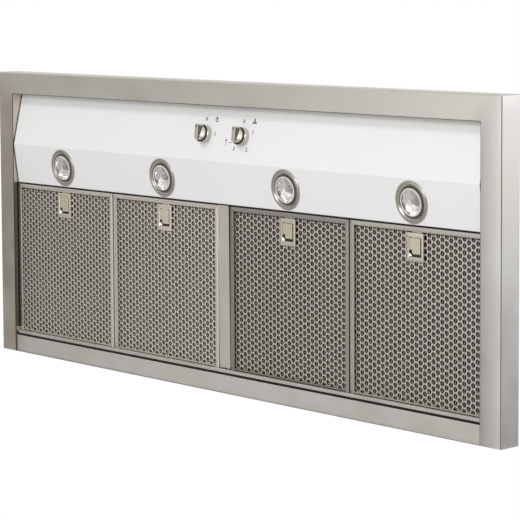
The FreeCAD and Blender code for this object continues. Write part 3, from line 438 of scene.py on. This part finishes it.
lamp_glass = wavy("pressed soda glass", "#fdfcfb", wave=6.0, dent=0.2,
                  Transmission_Weight=1.0, Roughness=0.03, IOR=1.5)
silvering = wavy("silvered reflector", "#fdf9f7", wave=5.0, dent=0.25, Metallic=1.0, Roughness=0.3)
print("lamp finishes:", lamp_glass.name, "and", silvering.name)

# %% [markdown]
# Meshes are made from outlines. A turned piece spins a closed outline round an axis, as on a lathe. A lofted piece
# joins a row of loops with the same number of points, as a bent or cast shape. Both return points and faces, and
# several can be put together. One function makes a mesh of them and rounds its shading, another sets it on a body.

# %% Helpers for shapes
import bmesh


def circle(r, steps, start=0.0):
    """Points (x, y) round a circle, from an angle on."""
    turns = [start + 2 * math.pi * k / steps for k in range(steps)]
    return [(r * math.cos(a), r * math.sin(a)) for a in turns]


def band(i, j, count):
    """The faces between two loops of points, given by their places in the row of loops."""
    return [(i * count + k, i * count + (k + 1) % count, j * count + (k + 1) % count, j * count + k)
            for k in range(count)]


def turned(outline, steps):
    """A closed outline of (radius, height) points, turned about Z."""
    points = [(x, y, h) for r, h in outline for x, y in circle(r, steps)]
    faces = []
    for i in range(len(outline)):
        j = (i + 1) % len(outline)
        if outline[i][0] or outline[j][0]:
            faces += band(i, j, steps)
    return points, faces


def lofted(loops, ring=False):
    """Loops of points joined in a row, with both ends closed, or joined round into a ring."""
    count = len(loops[0])
    points = [p for loop in loops for p in loop]
    faces = []
    for i in range(len(loops) if ring else len(loops) - 1):
        faces += band(i, (i + 1) % len(loops), count)
    if not ring:
        faces += [tuple(range(count)), tuple(range(len(points) - count, len(points)))]
    return points, faces


def together(*shapes):
    """Several shapes as one list of points and one of faces."""
    points, faces = [], []
    for more_points, more_faces in shapes:
        faces += [tuple(i + len(points) for i in face) for face in more_faces]
        points += more_points
    return points, faces


def rounded(width, length, radius, height, x=0.0, y=0.0, steps=4):
    """A loop: a rectangle with round corners at a height."""
    loop = []
    for corner, (sx, sy) in enumerate(((1, 1), (-1, 1), (-1, -1), (1, -1))):
        for k in range(steps + 1):
            a = math.pi / 2 * (corner + k / steps)
            loop.append((x + sx * (width / 2 - radius) + radius * math.cos(a),
                         y + sy * (length / 2 - radius) + radius * math.sin(a), height))
    return loop


def slab(heights, width, length, radius, x=0.0, y=0.0):
    """A rectangle with round corners, through some heights."""
    return lofted([rounded(width, length, radius, z, x, y) for z in heights])


def mesh_of(name, shape, finish, thick=0.0, sharp=32.0):
    """A mesh from points in millimetres. A sheet gets a thickness. Shading is smooth up to an angle in degrees."""
    work = bmesh.new()
    points = [work.verts.new(Vector(p) / 1000) for p in shape[0]]
    for face in shape[1]:
        work.faces.new([points[i] for i in face])
    bmesh.ops.remove_doubles(work, verts=work.verts, dist=2e-6)
    bmesh.ops.dissolve_degenerate(work, dist=1e-6, edges=work.edges)
    if thick:
        bmesh.ops.solidify(work, geom=work.faces[:], thickness=-thick / 1000)
    bmesh.ops.recalc_face_normals(work, faces=work.faces)
    mesh = bpy.data.meshes.new(name)
    work.to_mesh(mesh)
    work.free()
    mesh.materials.append(finish)
    mesh.shade_smooth()
    mesh.set_sharp_from_angle(angle=math.radians(sharp))
    return mesh


def piece(name, mesh, body, place=None):
    """An object that shows a mesh at a place and rides on a body."""
    made = bpy.data.objects.new(name, mesh)
    if place is not None:
        made.matrix_world = place
    scene.collection.objects.link(made)
    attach(made, body)
    return made


def at(x, v, z, tilt=0.0):
    """A place in millimetres, v out from the wall, tilted about X. Its own Z axis runs into the hood."""
    return Matrix.Translation(Vector((x, -v, z)) / 1000) @ Matrix.Rotation(math.radians(tilt), 4, "X")


print("a circle of six starts at", circle(1.0, 6)[0])

# %% [markdown]
# Each filter has a face sheet punched with round holes in a honeycomb, ten millimetres apart. A texture would look
# flat from the side, so the holes are real: each cell is a hexagon with a round hole, made as six faces, and
# neighbouring cells share their corners. The cells behind the latch are left out, where its tongue runs. The two
# filters on the right get a darker copy of the sheet's finish than the two on the left, as painted shade.

# %% Perforated face sheets
FILTER_XS = (-423.625, -149.875, 149.875, 423.625)
FILTERS = tuple(enumerate(FILTER_XS, start=1))
FILTER_V = 166.35
SHEET_HALF = 134.2
SHEET_Z = 12.6
SHEET_T = 1.2
HOLE_PITCH = 10.0
HOLE_R, HOLE_SIDES = 4.3, 12
COLUMN = HOLE_PITCH * math.sqrt(3) / 2
POCKET_HALF, POCKET_REAR = 13.0, -101.0
# filters from this number on get the darker copies of their finishes, as painted shade
FIRST_SHADED = 3


def honeycomb(hole_r, sides, shift_x=0.0, shift_y=0.0):
    """A flat sheet of hexagons with holes of a radius and a number of sides, within the filter's frame."""
    shapes = []
    corner_r = HOLE_PITCH / math.sqrt(3)
    cell = circle(corner_r, 6) + circle(hole_r, sides)
    split = sides // 6
    faces = [(k, (k + 1) % 6, *[6 + (split * (k + 1) - n) % sides for n in range(split + 1)]) for k in range(6)]
    reach = int(SHEET_HALF / COLUMN) + 1
    for i in range(-reach, reach + 1):
        for j in range(-reach, reach + 1):
            cx = i * COLUMN + shift_x
            cy = (j + 0.5 * (i % 2)) * HOLE_PITCH + shift_y
            outside = abs(cx) + corner_r > SHEET_HALF or abs(cy) + HOLE_PITCH / 2 > SHEET_HALF
            if outside or (abs(cx) < POCKET_HALF and cy < POCKET_REAR):
                continue
            shapes.append(([(cx + x, cy + y, 0.0) for x, y in cell], faces))
    return together(*shapes)


face_holes = honeycomb(HOLE_R, HOLE_SIDES)
face_sheets = [mesh_of("perforated_sheet", face_holes, finish, SHEET_T) for finish in (bright_sheet, shaded_sheet)]
for number, x in FILTERS:
    mesh = face_sheets[number >= FIRST_SHADED]
    made = piece(f"filter_sheet_{number}", mesh, f"filter_{number}", at(x, FILTER_V, SHEET_Z))
    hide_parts(f"filter_mesh_{number}")
print("faces of a sheet:", len(face_sheets[0].polygons))

# %% [markdown]
# Behind the face sheet lies a second layer, set aside so that its webs meet in the middle of the holes in front.
# Behind that is a pack of knitted aluminium, which catches the grease. The pack is a quilted slab with a knit in
# its finish, because single wires wouldn't show. Both are coloured darker than the face sheet, as painted shade
# in the holes, and the pack nearly black.

# %% Inner layer and knitted pack
INNER_Z, INNER_T = 15.1, 0.6
INNER_HOLE_R, INNER_SIDES = 4.4, 6
INNER_SHIFT = (2.8, 0.5)
PACK_Z, PACK_T = 17.3, 2.3
PACK_STEPS = 36
QUILT, QUILT_DEEP = 0.09, 0.35
inner_holes = honeycomb(INNER_HOLE_R, INNER_SIDES, *INNER_SHIFT)
inner_sheets = [mesh_of("inner_layer", inner_holes, finish, INNER_T) for finish in (bright_inner, shaded_inner)]
grid = [SHEET_HALF * (2 * k / PACK_STEPS - 1) for k in range(PACK_STEPS + 1)]
points = [(x, y, QUILT_DEEP * math.sin(QUILT * x) * math.sin(QUILT * y)) for y in grid for x in grid]
row = PACK_STEPS + 1
faces = [(i * row + k, i * row + k + 1, (i + 1) * row + k + 1, (i + 1) * row + k)
         for i in range(PACK_STEPS) for k in range(PACK_STEPS)]
pack = mesh_of("knitted_pack", (points, faces), knitted, PACK_T)
for number, x in FILTERS:
    mesh = inner_sheets[number >= FIRST_SHADED]
    piece(f"filter_inner_{number}", mesh, f"filter_{number}", at(x, FILTER_V, INNER_Z))
    made = piece(f"filter_pack_{number}", pack, f"filter_{number}", at(x, FILTER_V, PACK_Z))
    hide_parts(f"filter_pad_{number}")
print("pack faces:", len(pack.polygons))

# %% [markdown]
# A filter's frame is folded from strip into a channel with softly rolled edges, cut at 45 degrees and closed at
# the corners. Each bar is one loft between two mitred ends, and a hair's gap stays open between two bars, which
# shows as the thin dark line at each corner. The front bar has a slot, where the latch's tongue comes through. The
# strips below and above the slot keep a hair clear of the bars beside them, so that no two faces lie in one place.
# The rear bar is a little narrower, and a rolled bead lies beside it with a groove between the two.

# %% Filter frames
FRAME_HALF = (135.375, 135.85)
MITRE_GAP = 0.7
SLOT_HALF, SLOT_CLEAR = 10.3, 0.02
FLANGE = [(0.0, 9.9), (0.12, 9.5), (0.5, 9.3), (7.4, 9.3), (7.75, 9.4), (7.95, 9.65), (8.0, 10.0), (8.0, SHEET_Z),
          (7.2, SHEET_Z), (7.2, 10.6), (6.7, 10.1), (0.9, 10.1), (0.8, 10.2)]
TOP = [(0.8, 20.5), (8.0, 20.5), (8.0, 21.3), (0.0, 21.3)]
CHANNEL = FLANGE + TOP
SLOT_LOW, SLOT_HIGH = 12.7, 15.1
UNDER_SLOT = FLANGE + [(0.8, SLOT_LOW), (0.0, SLOT_LOW)]
OVER_SLOT = [(0.8, SLOT_HIGH)] + TOP + [(0.0, SLOT_HIGH)]


def mitred(sx, sy, along, outline=CHANNEL):
    """A channel's outline at a corner, drawn back along its bar by half the gap between two bars."""
    back_x, back_y = along[0] * MITRE_GAP / 2, along[1] * MITRE_GAP / 2
    return [(sx * (FRAME_HALF[0] - i) + back_x, sy * (FRAME_HALF[1] - i) + back_y, z) for i, z in outline]


def across_front(outline, x):
    """An outline of the front bar, square to it."""
    return [(x, i - FRAME_HALF[1], z) for i, z in outline]


GROOVE = 1.0
LIP_FROM = 6.5
REAR_CHANNEL = [(i - GROOVE if i > LIP_FROM else i, z) for i, z in CHANNEL]
SLOT_SPAN = (SLOT_CLEAR - SLOT_HALF, SLOT_HALF - SLOT_CLEAR)
bars = [
    lofted([mitred(1, -1, (0, 1)), mitred(1, 1, (0, -1))]),
    lofted([mitred(1, 1, (-1, 0), REAR_CHANNEL), mitred(-1, 1, (1, 0), REAR_CHANNEL)]),
    lofted([mitred(-1, 1, (0, -1)), mitred(-1, -1, (0, 1))]),
    lofted([mitred(-1, -1, (1, 0)), across_front(CHANNEL, -SLOT_HALF)]),
    lofted([across_front(CHANNEL, SLOT_HALF), mitred(1, -1, (-1, 0))]),
    lofted([across_front(UNDER_SLOT, x) for x in SLOT_SPAN]),
    lofted([across_front(OVER_SLOT, x) for x in SLOT_SPAN]),
]
BEAD_HALF = 127.2
BEAD = [(127.8, SHEET_Z), (127.8, 10.1), (127.4, 9.7), (125.8, 9.7), (125.5, 10.1), (125.5, SHEET_Z)]
bars.append(lofted([[(x, y, z) for y, z in BEAD] for x in (-BEAD_HALF, BEAD_HALF)]))
# painted light and shade: the frames' tones differ from filter to filter
frame_finishes = (frame_aluminium, frame_aluminium, dull_and_shaded_aluminium, half_shaded_aluminium)
frame_meshes = [mesh_of("filter_bars", together(*bars), finish) for finish in frame_finishes]
for number, x in FILTERS:
    mesh = frame_meshes[number - 1]
    made = piece(f"filter_bars_{number}", mesh, f"filter_{number}", at(x, FILTER_V, 0))
    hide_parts(f"filter_frame_{number}")
print("faces of a frame:", len(frame_meshes[0].polygons))

# %% [markdown]
# Strips of black foam fill the gaps round the filters and behind the rail's lip. They are painted shade, which
# makes those gaps look black. At the sides each has a lip of grey rubber below it, painted shade on the rim's
# return. Along the rail the foam bulges out under the lip's rear edge, and along a filter's front edge it bulges
# out under the frame. That strip and the one in the filter's groove ride on the filter, and drop with it.

# %% Strips of painted shade
SIDE_STRIP = {"length": 260.0, "x": 559.65, "y": -173.5}
DIVIDER_STRIP = {"length": 258.0, "x": 13.8, "y": -170.0}


def strips(heights, width, length, radius, x, y):
    """Two strips, left and right of the middle."""
    return [slab(heights, width, length, radius, side * x, y) for side in (-1, 1)]


# painted shade: black strips in the side gaps and beside the divider, grey lips on the rim's return
side_shade_strips = strips((6.4, 6.8, 18.0), width=0.6, radius=0.25, **SIDE_STRIP)
side_lips = strips((0.9, 1.3, 6.4), width=0.5, radius=0.2, **SIDE_STRIP)
divider_shade_strips = strips((10.0, 10.4, 17.0), width=1.1, radius=0.25, **DIVIDER_STRIP)

RAIL_ENDS = (-552.5, 557.5)
RAIL_LONG, RAIL_MIDDLE = RAIL_ENDS[1] - RAIL_ENDS[0], sum(RAIL_ENDS) / 2
RAIL_FOAM, RAIL_FOAM_SOFT, RAIL_FOAM_Y = 7.2, 1.0, -27.7
RAIL_FOAM_LOOPS = ((4.2, 0.2), (4.5, 0.0), (7.6, 0.0))
# painted shade: a black strip behind the rail's lip, bulging out under its rear edge
rail_shade_strip = lofted([rounded(RAIL_LONG - 2 * g, RAIL_FOAM - 2 * g, RAIL_FOAM_SOFT, z, RAIL_MIDDLE, RAIL_FOAM_Y)
                    for z, g in RAIL_FOAM_LOOPS])
BULGE = [(29.35, 4.2), (29.5, 2.7), (30.2, 2.3), (33.0, 2.25), (33.4, 2.45), (31.4, 2.6), (31.4, 4.2)]
rail_bulge = lofted([[(x, -v, z) for v, z in BULGE] for x in RAIL_ENDS])
middle_shade_strip = slab((9.4, 13.0), width=28.0, length=1.6, radius=0.2, y=-303.1)
foam = together(*side_shade_strips, *divider_shade_strips, rail_shade_strip, rail_bulge, middle_shade_strip)
shade_strips = mesh_of("foam_shade_strips", foam, black_shade_foam)
piece("foam_shade_strips", shade_strips, "hood")
lips = mesh_of("shade_strip_lips", together(*side_lips), grey_rubber_and_shade)
piece("shade_strip_lips", lips, "hood")

# painted shade: black strips along each filter's front edge and in its groove
FRONT_SHADE_HALF = 135.0
FRONT_BULGE = [(-1.0, 9.22), (-0.8, 9.1), (1.2, 9.1), (1.65, 9.5), (1.65, 13.0), (0.1, 13.0), (0.1, 9.9),
               (-0.35, 9.22)]
front_shade_strip = lofted([[(x, -FRAME_HALF[1] - ahead, z) for ahead, z in FRONT_BULGE]
                     for x in (-FRONT_SHADE_HALF, FRONT_SHADE_HALF)])
groove_shade_strip = slab((11.0, SHEET_Z), width=2 * BEAD_HALF, length=GROOVE - 0.1, radius=0.2, y=128.3)
filter_shade_strip = mesh_of("filter_shade_strip", together(front_shade_strip, groove_shade_strip), black_shade_foam)
for number, x in FILTERS:
    piece(f"filter_shade_strip_{number}", filter_shade_strip, f"filter_{number}", at(x, FILTER_V, 0))
print("seal faces:", len(shade_strips.polygons))

# %% [markdown]
# The latch is a small pressed housing on the face sheet with a thumb plate in its window. Pulling the thumb
# plate towards the wall draws the tongue out of the panel. The housing is a ring of loops: up its outside, over
# its softened edge, and down into the window. The thumb plate has a notch at one corner, where a bent tab of the
# housing stops it.

# %% Latches
LATCH_V = 271.1
LATCH, WINDOW = (34.0, 43.0), (25.0, 29.0)
LATCH_FACE = SHEET_Z - 3.5
# each loop of the housing: a size, what it gains, its corners' radius and its height
HOUSING = (
    (LATCH, 0.0, 1.2, SHEET_Z), (LATCH, 0.0, 1.2, LATCH_FACE + 0.6),
    (LATCH, -0.4, 1.1, LATCH_FACE + 0.15), (LATCH, -1.2, 0.9, LATCH_FACE),
    (WINDOW, 2.4, 0.9, LATCH_FACE), (WINDOW, 1.4, 0.7, LATCH_FACE + 0.5),
    (WINDOW, 0.0, 0.5, LATCH_FACE + 0.7), (WINDOW, 0.0, 0.5, SHEET_Z),
)
housing = lofted([rounded(wide + gain, long + gain, r, z) for (wide, long), gain, r, z in HOUSING], ring=True)
TAB = [(-12.2, 13.4, 9.3), (-8.6, 13.4, 11.9), (-12.2, 9.2, 10.6)]
tab = lofted([TAB, [(x, y, SHEET_Z - 0.1) for x, y, z in TAB]])
housings = [mesh_of("latch_housing", together(housing, tab), finish) for finish in (bright_zinc, shaded_zinc)]
# painted shade: a black plate behind the window, which shows black in the gaps round the thumb plate
gap_shade = slab((SHEET_Z - 0.2, SHEET_Z - 0.02), width=24.9, length=28.9, radius=0.5)
gap_shade_mesh = mesh_of("latch_gap_shade", gap_shade, black_abs_and_shade)


def notched(grow, height):
    """The thumb plate's outline, with a notch at its rear left corner."""
    left, right_x, front, rear = -11.6 - grow, 10.7 + grow, -13.4 - grow, 10.2 + grow
    notch_x, notch_y = -5.8 - grow, 4.0 + grow
    outline = [(left, front), (right_x, front), (right_x, rear), (notch_x, rear), (notch_x, notch_y),
               (left, notch_y)]
    return [(x, y, height) for x, y in outline]


THUMB_FACE, THUMB_BACK = LATCH_FACE + 0.3, SHEET_Z - 0.4
THUMB_SOFT = 0.35
TONGUE_W, TONGUE_L, TONGUE_R, TONGUE_Y = 20.0, 18.5, 0.6, -23.45
TONGUE_TOP = SHEET_Z + 2.2
TONGUE_LOOPS = ((SHEET_Z + 0.6, 0.6), (SHEET_Z + 1.0, 0.0), (TONGUE_TOP, 0.0))
thumb = lofted([notched(0, THUMB_BACK), notched(0, THUMB_FACE + 0.4), notched(-THUMB_SOFT, THUMB_FACE)])
neck = slab((THUMB_BACK, TONGUE_TOP), width=TONGUE_W, length=6.0, radius=0.4, y=-11.2)
tongue = lofted([rounded(TONGUE_W - 2 * g, TONGUE_L - g, TONGUE_R, z, 0.0, TONGUE_Y + g / 2)
                 for z, g in TONGUE_LOOPS])
slide = together(thumb, neck, tongue)
slides = [mesh_of("latch_thumb", slide, finish) for finish in (bright_yellow, shaded_yellow)]
for number, x in FILTERS:
    # the filters on the right get darker latches, as painted shade
    shaded = number >= FIRST_SHADED
    made = piece(f"latch_housing_{number}", housings[shaded], f"filter_{number}", at(x, LATCH_V, 0))
    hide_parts(f"latch_plate_{number}")
    piece(f"latch_gap_shade_{number}", gap_shade_mesh, f"filter_{number}", at(x, LATCH_V, 0))
    made = piece(f"latch_thumb_{number}", slides[shaded], f"latch_{number}", at(x, LATCH_V, 0))
    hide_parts(f"latch_slide_{number}")
print("latch housing faces:", len(housings[0].polygons))

# %% [markdown]
# The lamps are turned parts. The bezel is one outline: a rolled outer edge, a flared mouth that catches the light,
# and the can behind. A rubber gasket and a thin collar hold the glass, which stands a little proud and whose
# ground edge shows as a pale ring. The reflector is a bowl of flat facets, each set a little differently, so that
# it sparkles unevenly as a real one does.

# %% Lamps
OUTER_LAMP_SET = 3.1
LAMP_XS = (FILTER_XS[0] + OUTER_LAMP_SET, FILTER_XS[1], FILTER_XS[2], FILTER_XS[3] - OUTER_LAMP_SET)
LAMP_V, LAMP_Z, LAMP_TILT = 337.4, 5.552, 7.777
ROUND = 64
bezel = turned([
    (27.5, 20.0), (27.5, 0.0), (24.8, 0.0), (27.0, -1.75), (27.3, -1.95), (27.7, -2.0), (28.6, -1.98),
    (29.8, -1.8), (31.0, -1.4), (31.9, -0.9), (32.4, -0.4), (32.5, 0.0), (28.5, 0.0), (28.5, 20.0)], ROUND)
gasket = turned([(21.75, -0.2), (22.0, -0.35), (24.3, -0.35), (24.75, -0.2), (24.75, 0.2), (21.75, 0.2)], ROUND)
collar = turned([(21.0, 0.2), (21.0, -1.6), (21.2, -1.8), (21.5, -1.7), (21.7, -1.4), (21.7, 0.2)], ROUND)
edge = turned([(19.05, -1.8), (19.5, -2.2), (20.4, -2.2), (20.95, -1.8), (20.95, 0.2), (19.05, 0.2)], ROUND)
glass = turned([(0, -2.4), (8, -2.35), (14, -2.2), (18.6, -1.95), (19.0, -1.75), (19.0, 0.25), (27.1, 0.25),
                (27.1, 1.9), (0, 1.9)], ROUND)

FACETS = 8
LEAN, LEAN_ROUND, LEAN_UP = 0.6, 2.4, 1.7
BOWL_T, BOWL_SHARP = 0.4, 5.0
RINGS = ((19.6, 2.3), (17.0, 6.0), (11.5, 9.6), (5.2, 12.0))
bowl_points, bowl_faces = [], []
for layer, (r, h) in enumerate(RINGS):
    for k, (x, y) in enumerate(circle(r, FACETS, math.pi / FACETS * (layer % 2))):
        bowl_points.append((x, y, h + LEAN * math.sin(LEAN_ROUND * k + LEAN_UP * layer)))
for layer in range(len(RINGS) - 1):
    for a, b, c, d in band(layer, layer + 1, FACETS):
        bowl_faces += [(a, b, c), (a, c, d)] if layer % 2 else [(a, b, d), (b, c, d)]
LAMP_ROWS = (
    ("lamp_ring", "satin_nickel", bezel, satin_nickel),
    ("lamp_gasket", "black_plastic", gasket, grey_rubber_and_shade),
    ("lamp_collar", "satin_nickel", collar, satin_nickel),
    ("lamp_edge", "lens_glass", edge, ground_edge),
    ("lamp_glass", "lens_glass", glass, lamp_glass),
    ("lamp_reflector", "bright_steel", (bowl_points, bowl_faces), silvering, BOWL_T, BOWL_SHARP),
)
lamp_meshes = [(name, slot, mesh_of(name, *rest)) for name, slot, *rest in LAMP_ROWS]
for number, x in enumerate(LAMP_XS, start=1):
    for name, slot, mesh in lamp_meshes:
        made = piece(f"{name}_{number}", mesh, "hood", at(x, LAMP_V, LAMP_Z, LAMP_TILT))
        if name == "lamp_ring":
            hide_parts(f"lamp_bezel_{number}")
        if name == "lamp_glass":
            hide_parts(f"lamp_lens_{number}")
print("reflector facets:", len(bowl_faces))

# %% [markdown]
# A knob is a turned skirt with a black ring round its face and a raised bar to hold. The ring's black is painted
# dark reflection along the face's edge. Beside the bar the face is scooped: low at the front, where the bar's wall
# stands free, and rising at the rear until it meets the bar. The bar and both scoops are one loft of sections from
# front to rear. A grey band of painted dark reflection stands on each wall, with a black line of painted shade
# along its foot and another along its top.

# %% Knobs
KNOB_V, KNOB_Z, KNOB_TILT = 414.297, 10.497, -12.971
KNOB_XS = {"light_knob": -45.0, "fan_knob": 45.0}
FACE = -10.3
BAR_HALF = 4.0
BAR_END_R = 13.4
BAR_FRONT, BAR_REAR, BAR_END = 11.6, 9.4, 0.8
BAR_TURN = 0.86
SCOOP_FRONT, SCOOP_REAR = 1.5, 6.6
skirt = turned([(0, 14.9), (2.95, 14.9), (2.95, -0.6), (14.3, -0.6), (14.8, -1.0), (14.4, -7.7), (13.8, -8.2),
                (11.0, -8.2), (11.0, FACE + 0.2), (0, FACE + 0.2)], ROUND)
face_ring = turned([(10.8, -8.3), (13.6, -8.3), (14.1, -8.8), (14.1, -10.1), (13.5, -10.7), (11.4, -10.7),
                    (10.8, -10.2)], ROUND)
BAR_AHEAD, BAR_BEHIND = 13.2, 11.4
SECTIONS = 24
STATIONS = [-BAR_AHEAD + (BAR_AHEAD + BAR_BEHIND) * k / SECTIONS for k in range(SECTIONS + 1)]
GRIP_R = 11.6
SCOOP_SHARES, SCOOP_CURVE = (1.0, 0.75, 0.5, 0.25, 0.0), 1.25
SCOOP_WIDE, SCOOP_UP, SCOOP_BELOW = 0.3, 0.15, 0.4
END_TAPER = 0.9
BAR_EDGE, WALL_LEAST = ((0.0, 0.9), (0.3, 0.25), (0.9, 0.0)), 0.05
WALL_IN, WALL_FOOT, WALL_TOP = 3.9, 4.3, 4.2
LINING_UP, LINING_DOWN, LINING_LEAST, LINING_SHORT = 0.25, 0.8, 0.4, 2


def grip_heights(y):
    """At a station: the half width inside the ring, the bar's height and the scoop's height beside the bar."""
    back = (y + BAR_AHEAD) / (BAR_AHEAD + BAR_BEHIND)
    reach = math.sqrt(max(0.0, GRIP_R ** 2 - y ** 2))
    bar = BAR_FRONT + (BAR_REAR - BAR_FRONT) * min(1.0, back / BAR_TURN)
    fall = min(1.0, max(0.0, (back - BAR_TURN) / (1 - BAR_TURN)))
    bar = BAR_END + (bar - BAR_END) * math.sqrt(1 - fall ** 2)
    scoop = min(SCOOP_FRONT + (SCOOP_REAR - SCOOP_FRONT) * back, bar - SCOOP_BELOW)
    return reach, bar, scoop


def grip_section(y):
    """One section of the bar and its two scoops."""
    reach, bar, scoop = grip_heights(y)
    half = min(BAR_HALF, END_TAPER * math.sqrt(BAR_END_R ** 2 - y ** 2))
    side = []
    for share in SCOOP_SHARES:
        x = half + (max(reach, half + SCOOP_WIDE) - half) * share
        side.append((x, FACE - SCOOP_UP - scoop * (1 - share) ** SCOOP_CURVE))
    side += [(half - inset, FACE - max(bar - drop, scoop + WALL_LEAST)) for inset, drop in BAR_EDGE]
    loop = [(side[0][0], FACE + 0.1)] + side
    return [(x, y, z) for x, z in loop] + [(-x, y, z) for x, z in loop[::-1]]


def lining(side, start, stop):
    """A painted dark band on one wall of the bar, between two shares of the wall's height."""
    loops = []
    for y in STATIONS[LINING_SHORT:-LINING_SHORT]:
        reach, bar, scoop = grip_heights(y)
        foot, top = FACE - scoop - LINING_UP, FACE - max(bar - LINING_DOWN, scoop + LINING_LEAST)
        low, high = foot + (top - foot) * start, foot + (top - foot) * stop
        corners = ((WALL_IN, low), (WALL_FOOT, low), (WALL_TOP, high), (WALL_IN, high))
        loops.append([(side * x, y, z) for x, z in corners])
    return lofted(loops)


# the black lines at each wall's foot and top are painted shade, the grey band between them painted dark reflection
LINES = ((0.0, 0.34), (0.74, 1.0))
BAND = (LINES[0][1], LINES[1][0])
POINTER_ZS = (FACE - BAR_FRONT + 0.6, FACE - BAR_FRONT + 0.15)
grip = lofted([grip_section(y) for y in STATIONS])
shade_bands = together(*[lining(side, *BAND) for side in (1, -1)])
lines = together(*[lining(side, *line) for side in (1, -1) for line in LINES])
pointer = slab(POINTER_ZS, width=2.4, length=4.4, radius=0.9, x=-1.0, y=-9.6)
GRIP_SHARP = 40.0
# the ring's black is painted dark reflection along the face's edge
KNOB_ROWS = (
    ("skirt", "satin_nickel", skirt, polished_nickel),
    ("ring", "black_plastic", face_ring, black_abs_and_shade),
    ("grip", "satin_nickel", grip, blasted_nickel, 0.0, GRIP_SHARP),
    ("lining", "black_plastic", shade_bands, grey_wall_shade),
    ("lines", "black_plastic", lines, black_abs_and_shade),
    ("pointer", "satin_nickel", pointer, print_ink),
)
knob_meshes = [(name, slot, mesh_of(f"knob_{name}", *rest)) for name, slot, *rest in KNOB_ROWS]
for node, x in KNOB_XS.items():
    for name, slot, mesh in knob_meshes:
        made = piece(f"{node}_{name}", mesh, node, at(x, KNOB_V, KNOB_Z, KNOB_TILT))
        if name == "skirt":
            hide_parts(node)
print("pieces of a knob:", [mesh.name for name, slot, mesh in knob_meshes])

# %% [markdown]
# The dials' marks are screen printed on the panel: plain numbers, a bulb, a fan and a small gauge. The numbers are
# set as text in the built-in font and turned to a mesh, and the signs come from short outlines. All of it is one
# film of ink, a few hundredths of a millimetre thick, on the panel's face.

# %% Printed marks
INK_T, INK_IN = 0.05, 0.02
DIGIT_SIZE, DIGIT_BOLD = 8.2, 0.26
PRINT_UP = 1.2


def printed(outline):
    """A flat outline of (right, up) points as a film of ink."""
    return lofted([[(x, -y, z) for x, y in outline] for z in (INK_IN, -INK_T)])


def spot(x, y, wide, tall, turn=0.0, steps=16):
    """An oval, turned by an angle."""
    c, s = math.cos(turn), math.sin(turn)
    oval = [(u * wide, v * tall) for u, v in circle(0.5, steps)]
    return printed([(x + u * c - v * s, y + u * s + v * c) for u, v in oval])


def stroke(x, y, wide, tall):
    """A straight bar."""
    return printed([(x + sx * wide / 2, y + sy * tall / 2) for sx, sy in SQUARE])


def digit(text, x, y):
    """A number from the font, as points and faces in the panel's own axes."""
    curve = bpy.data.curves.new("digit", "FONT")
    curve.body = text
    curve.size = DIGIT_SIZE
    curve.align_x = curve.align_y = "CENTER"
    curve.extrude = INK_T / 2
    curve.offset = DIGIT_BOLD
    curve.resolution_u = 3
    holder = bpy.data.objects.new("digit", curve)
    flat = bpy.data.meshes.new_from_object(holder)
    points = [(x + p.co.x, -(y + p.co.y), INK_IN - INK_T / 2 - p.co.z) for p in flat.vertices]
    faces = [tuple(f.vertices) for f in flat.polygons]
    bpy.data.objects.remove(holder)
    bpy.data.curves.remove(curve)
    bpy.data.meshes.remove(flat)
    return points, faces


def ringed(x, y, outer, inner, steps=20):
    """A round line."""
    section = ((outer, INK_IN), (outer, -INK_T), (inner, -INK_T), (inner, INK_IN))
    return lofted([[(x + u, v - y, z) for u, v in circle(r, steps)] for r, z in section], ring=True)


bulb = [ringed(22.5, 22.8, outer=3.5, inner=1.9), stroke(22.5, 26.9, wide=2.6, tall=2.6)]
light_marks = together(digit("0", -2.4, 23.5), digit("1", 23.5, -0.6), *bulb)
FAN_X, FAN_Y, FAN_R = 23, 23.4, 2.9
turns = [math.radians(90 + 120 * k) for k in range(3)]
blades = [spot(FAN_X + FAN_R * math.cos(a), FAN_Y + FAN_R * math.sin(a), 5.4, 3.0, a) for a in turns]
gauge = [spot(-37.5, -8.5, 3.0, 4.4), stroke(-37.0, -14.5, 0.9, 7.0), stroke(-27.0, -12.0, 7.0, 1.0)]
fan_digits = [digit("0", -1.8, 23.4), digit("1", 22.6, 7), digit("2", 14.0, -21.8), digit("3", -16.0, -21.4)]
fan_marks = together(*fan_digits, *blades, *gauge)
for node, marks in (("light", light_marks), ("fan", fan_marks)):
    mesh = mesh_of(f"{node}_dial_print", marks, print_ink)
    place = at(KNOB_XS[f"{node}_knob"], KNOB_V, KNOB_Z, KNOB_TILT) @ Matrix.Translation((0, -PRINT_UP / 1000, 0))
    piece(f"{node}_dial_print", mesh, "hood", place)
print("print faces:", len(light_marks[1]) + len(fan_marks[1]))

# %% [markdown]
# The solids that stay visible get their finishes here. Each keeps its mesh and its place, and only its material
# slots change.

# %% Finishes of the solids
FINISHES = {
    rim_steel: ["rim_frame"],
    bar_steel: ["rear_bar"],
    canopy_steel: ["canopy", "rear_panel"],
    rail_steel: ["filter_rail"],
    divider_steel: ["centre_divider"],
    chimney_steel: ["chimney_lower", "chimney_upper"],
    powder_coat: ["control_panel"],
    galvanised: ["blower_deck", "scroll_housing", "outlet_spigot", "junction_box",
                 "damper_front", "damper_rear"],
    # the impeller takes the darker rolled aluminium as its own dull colour
    dull_and_shaded_aluminium: ["impeller"],
    black_abs_and_shade: ["light_switch", "fan_switch", "cable_gland"],
    # the front ledge's dark enamel is painted shade in the gap between the panel and the filters
    dark_enamel_and_shade: ["motor", "transformer", "front_ledge"],
    bright_steel: ["motor_shaft", "damper_pin", "body_screws"],
    steatite: [f"lamp_bulb_{n}" for n in range(1, 5)],
}
for finish, nodes in FINISHES.items():
    for node in nodes:
        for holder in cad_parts[node].material_slots:
            holder.material = finish
print("finished solids:", sum(len(nodes) for nodes in FINISHES.values()))
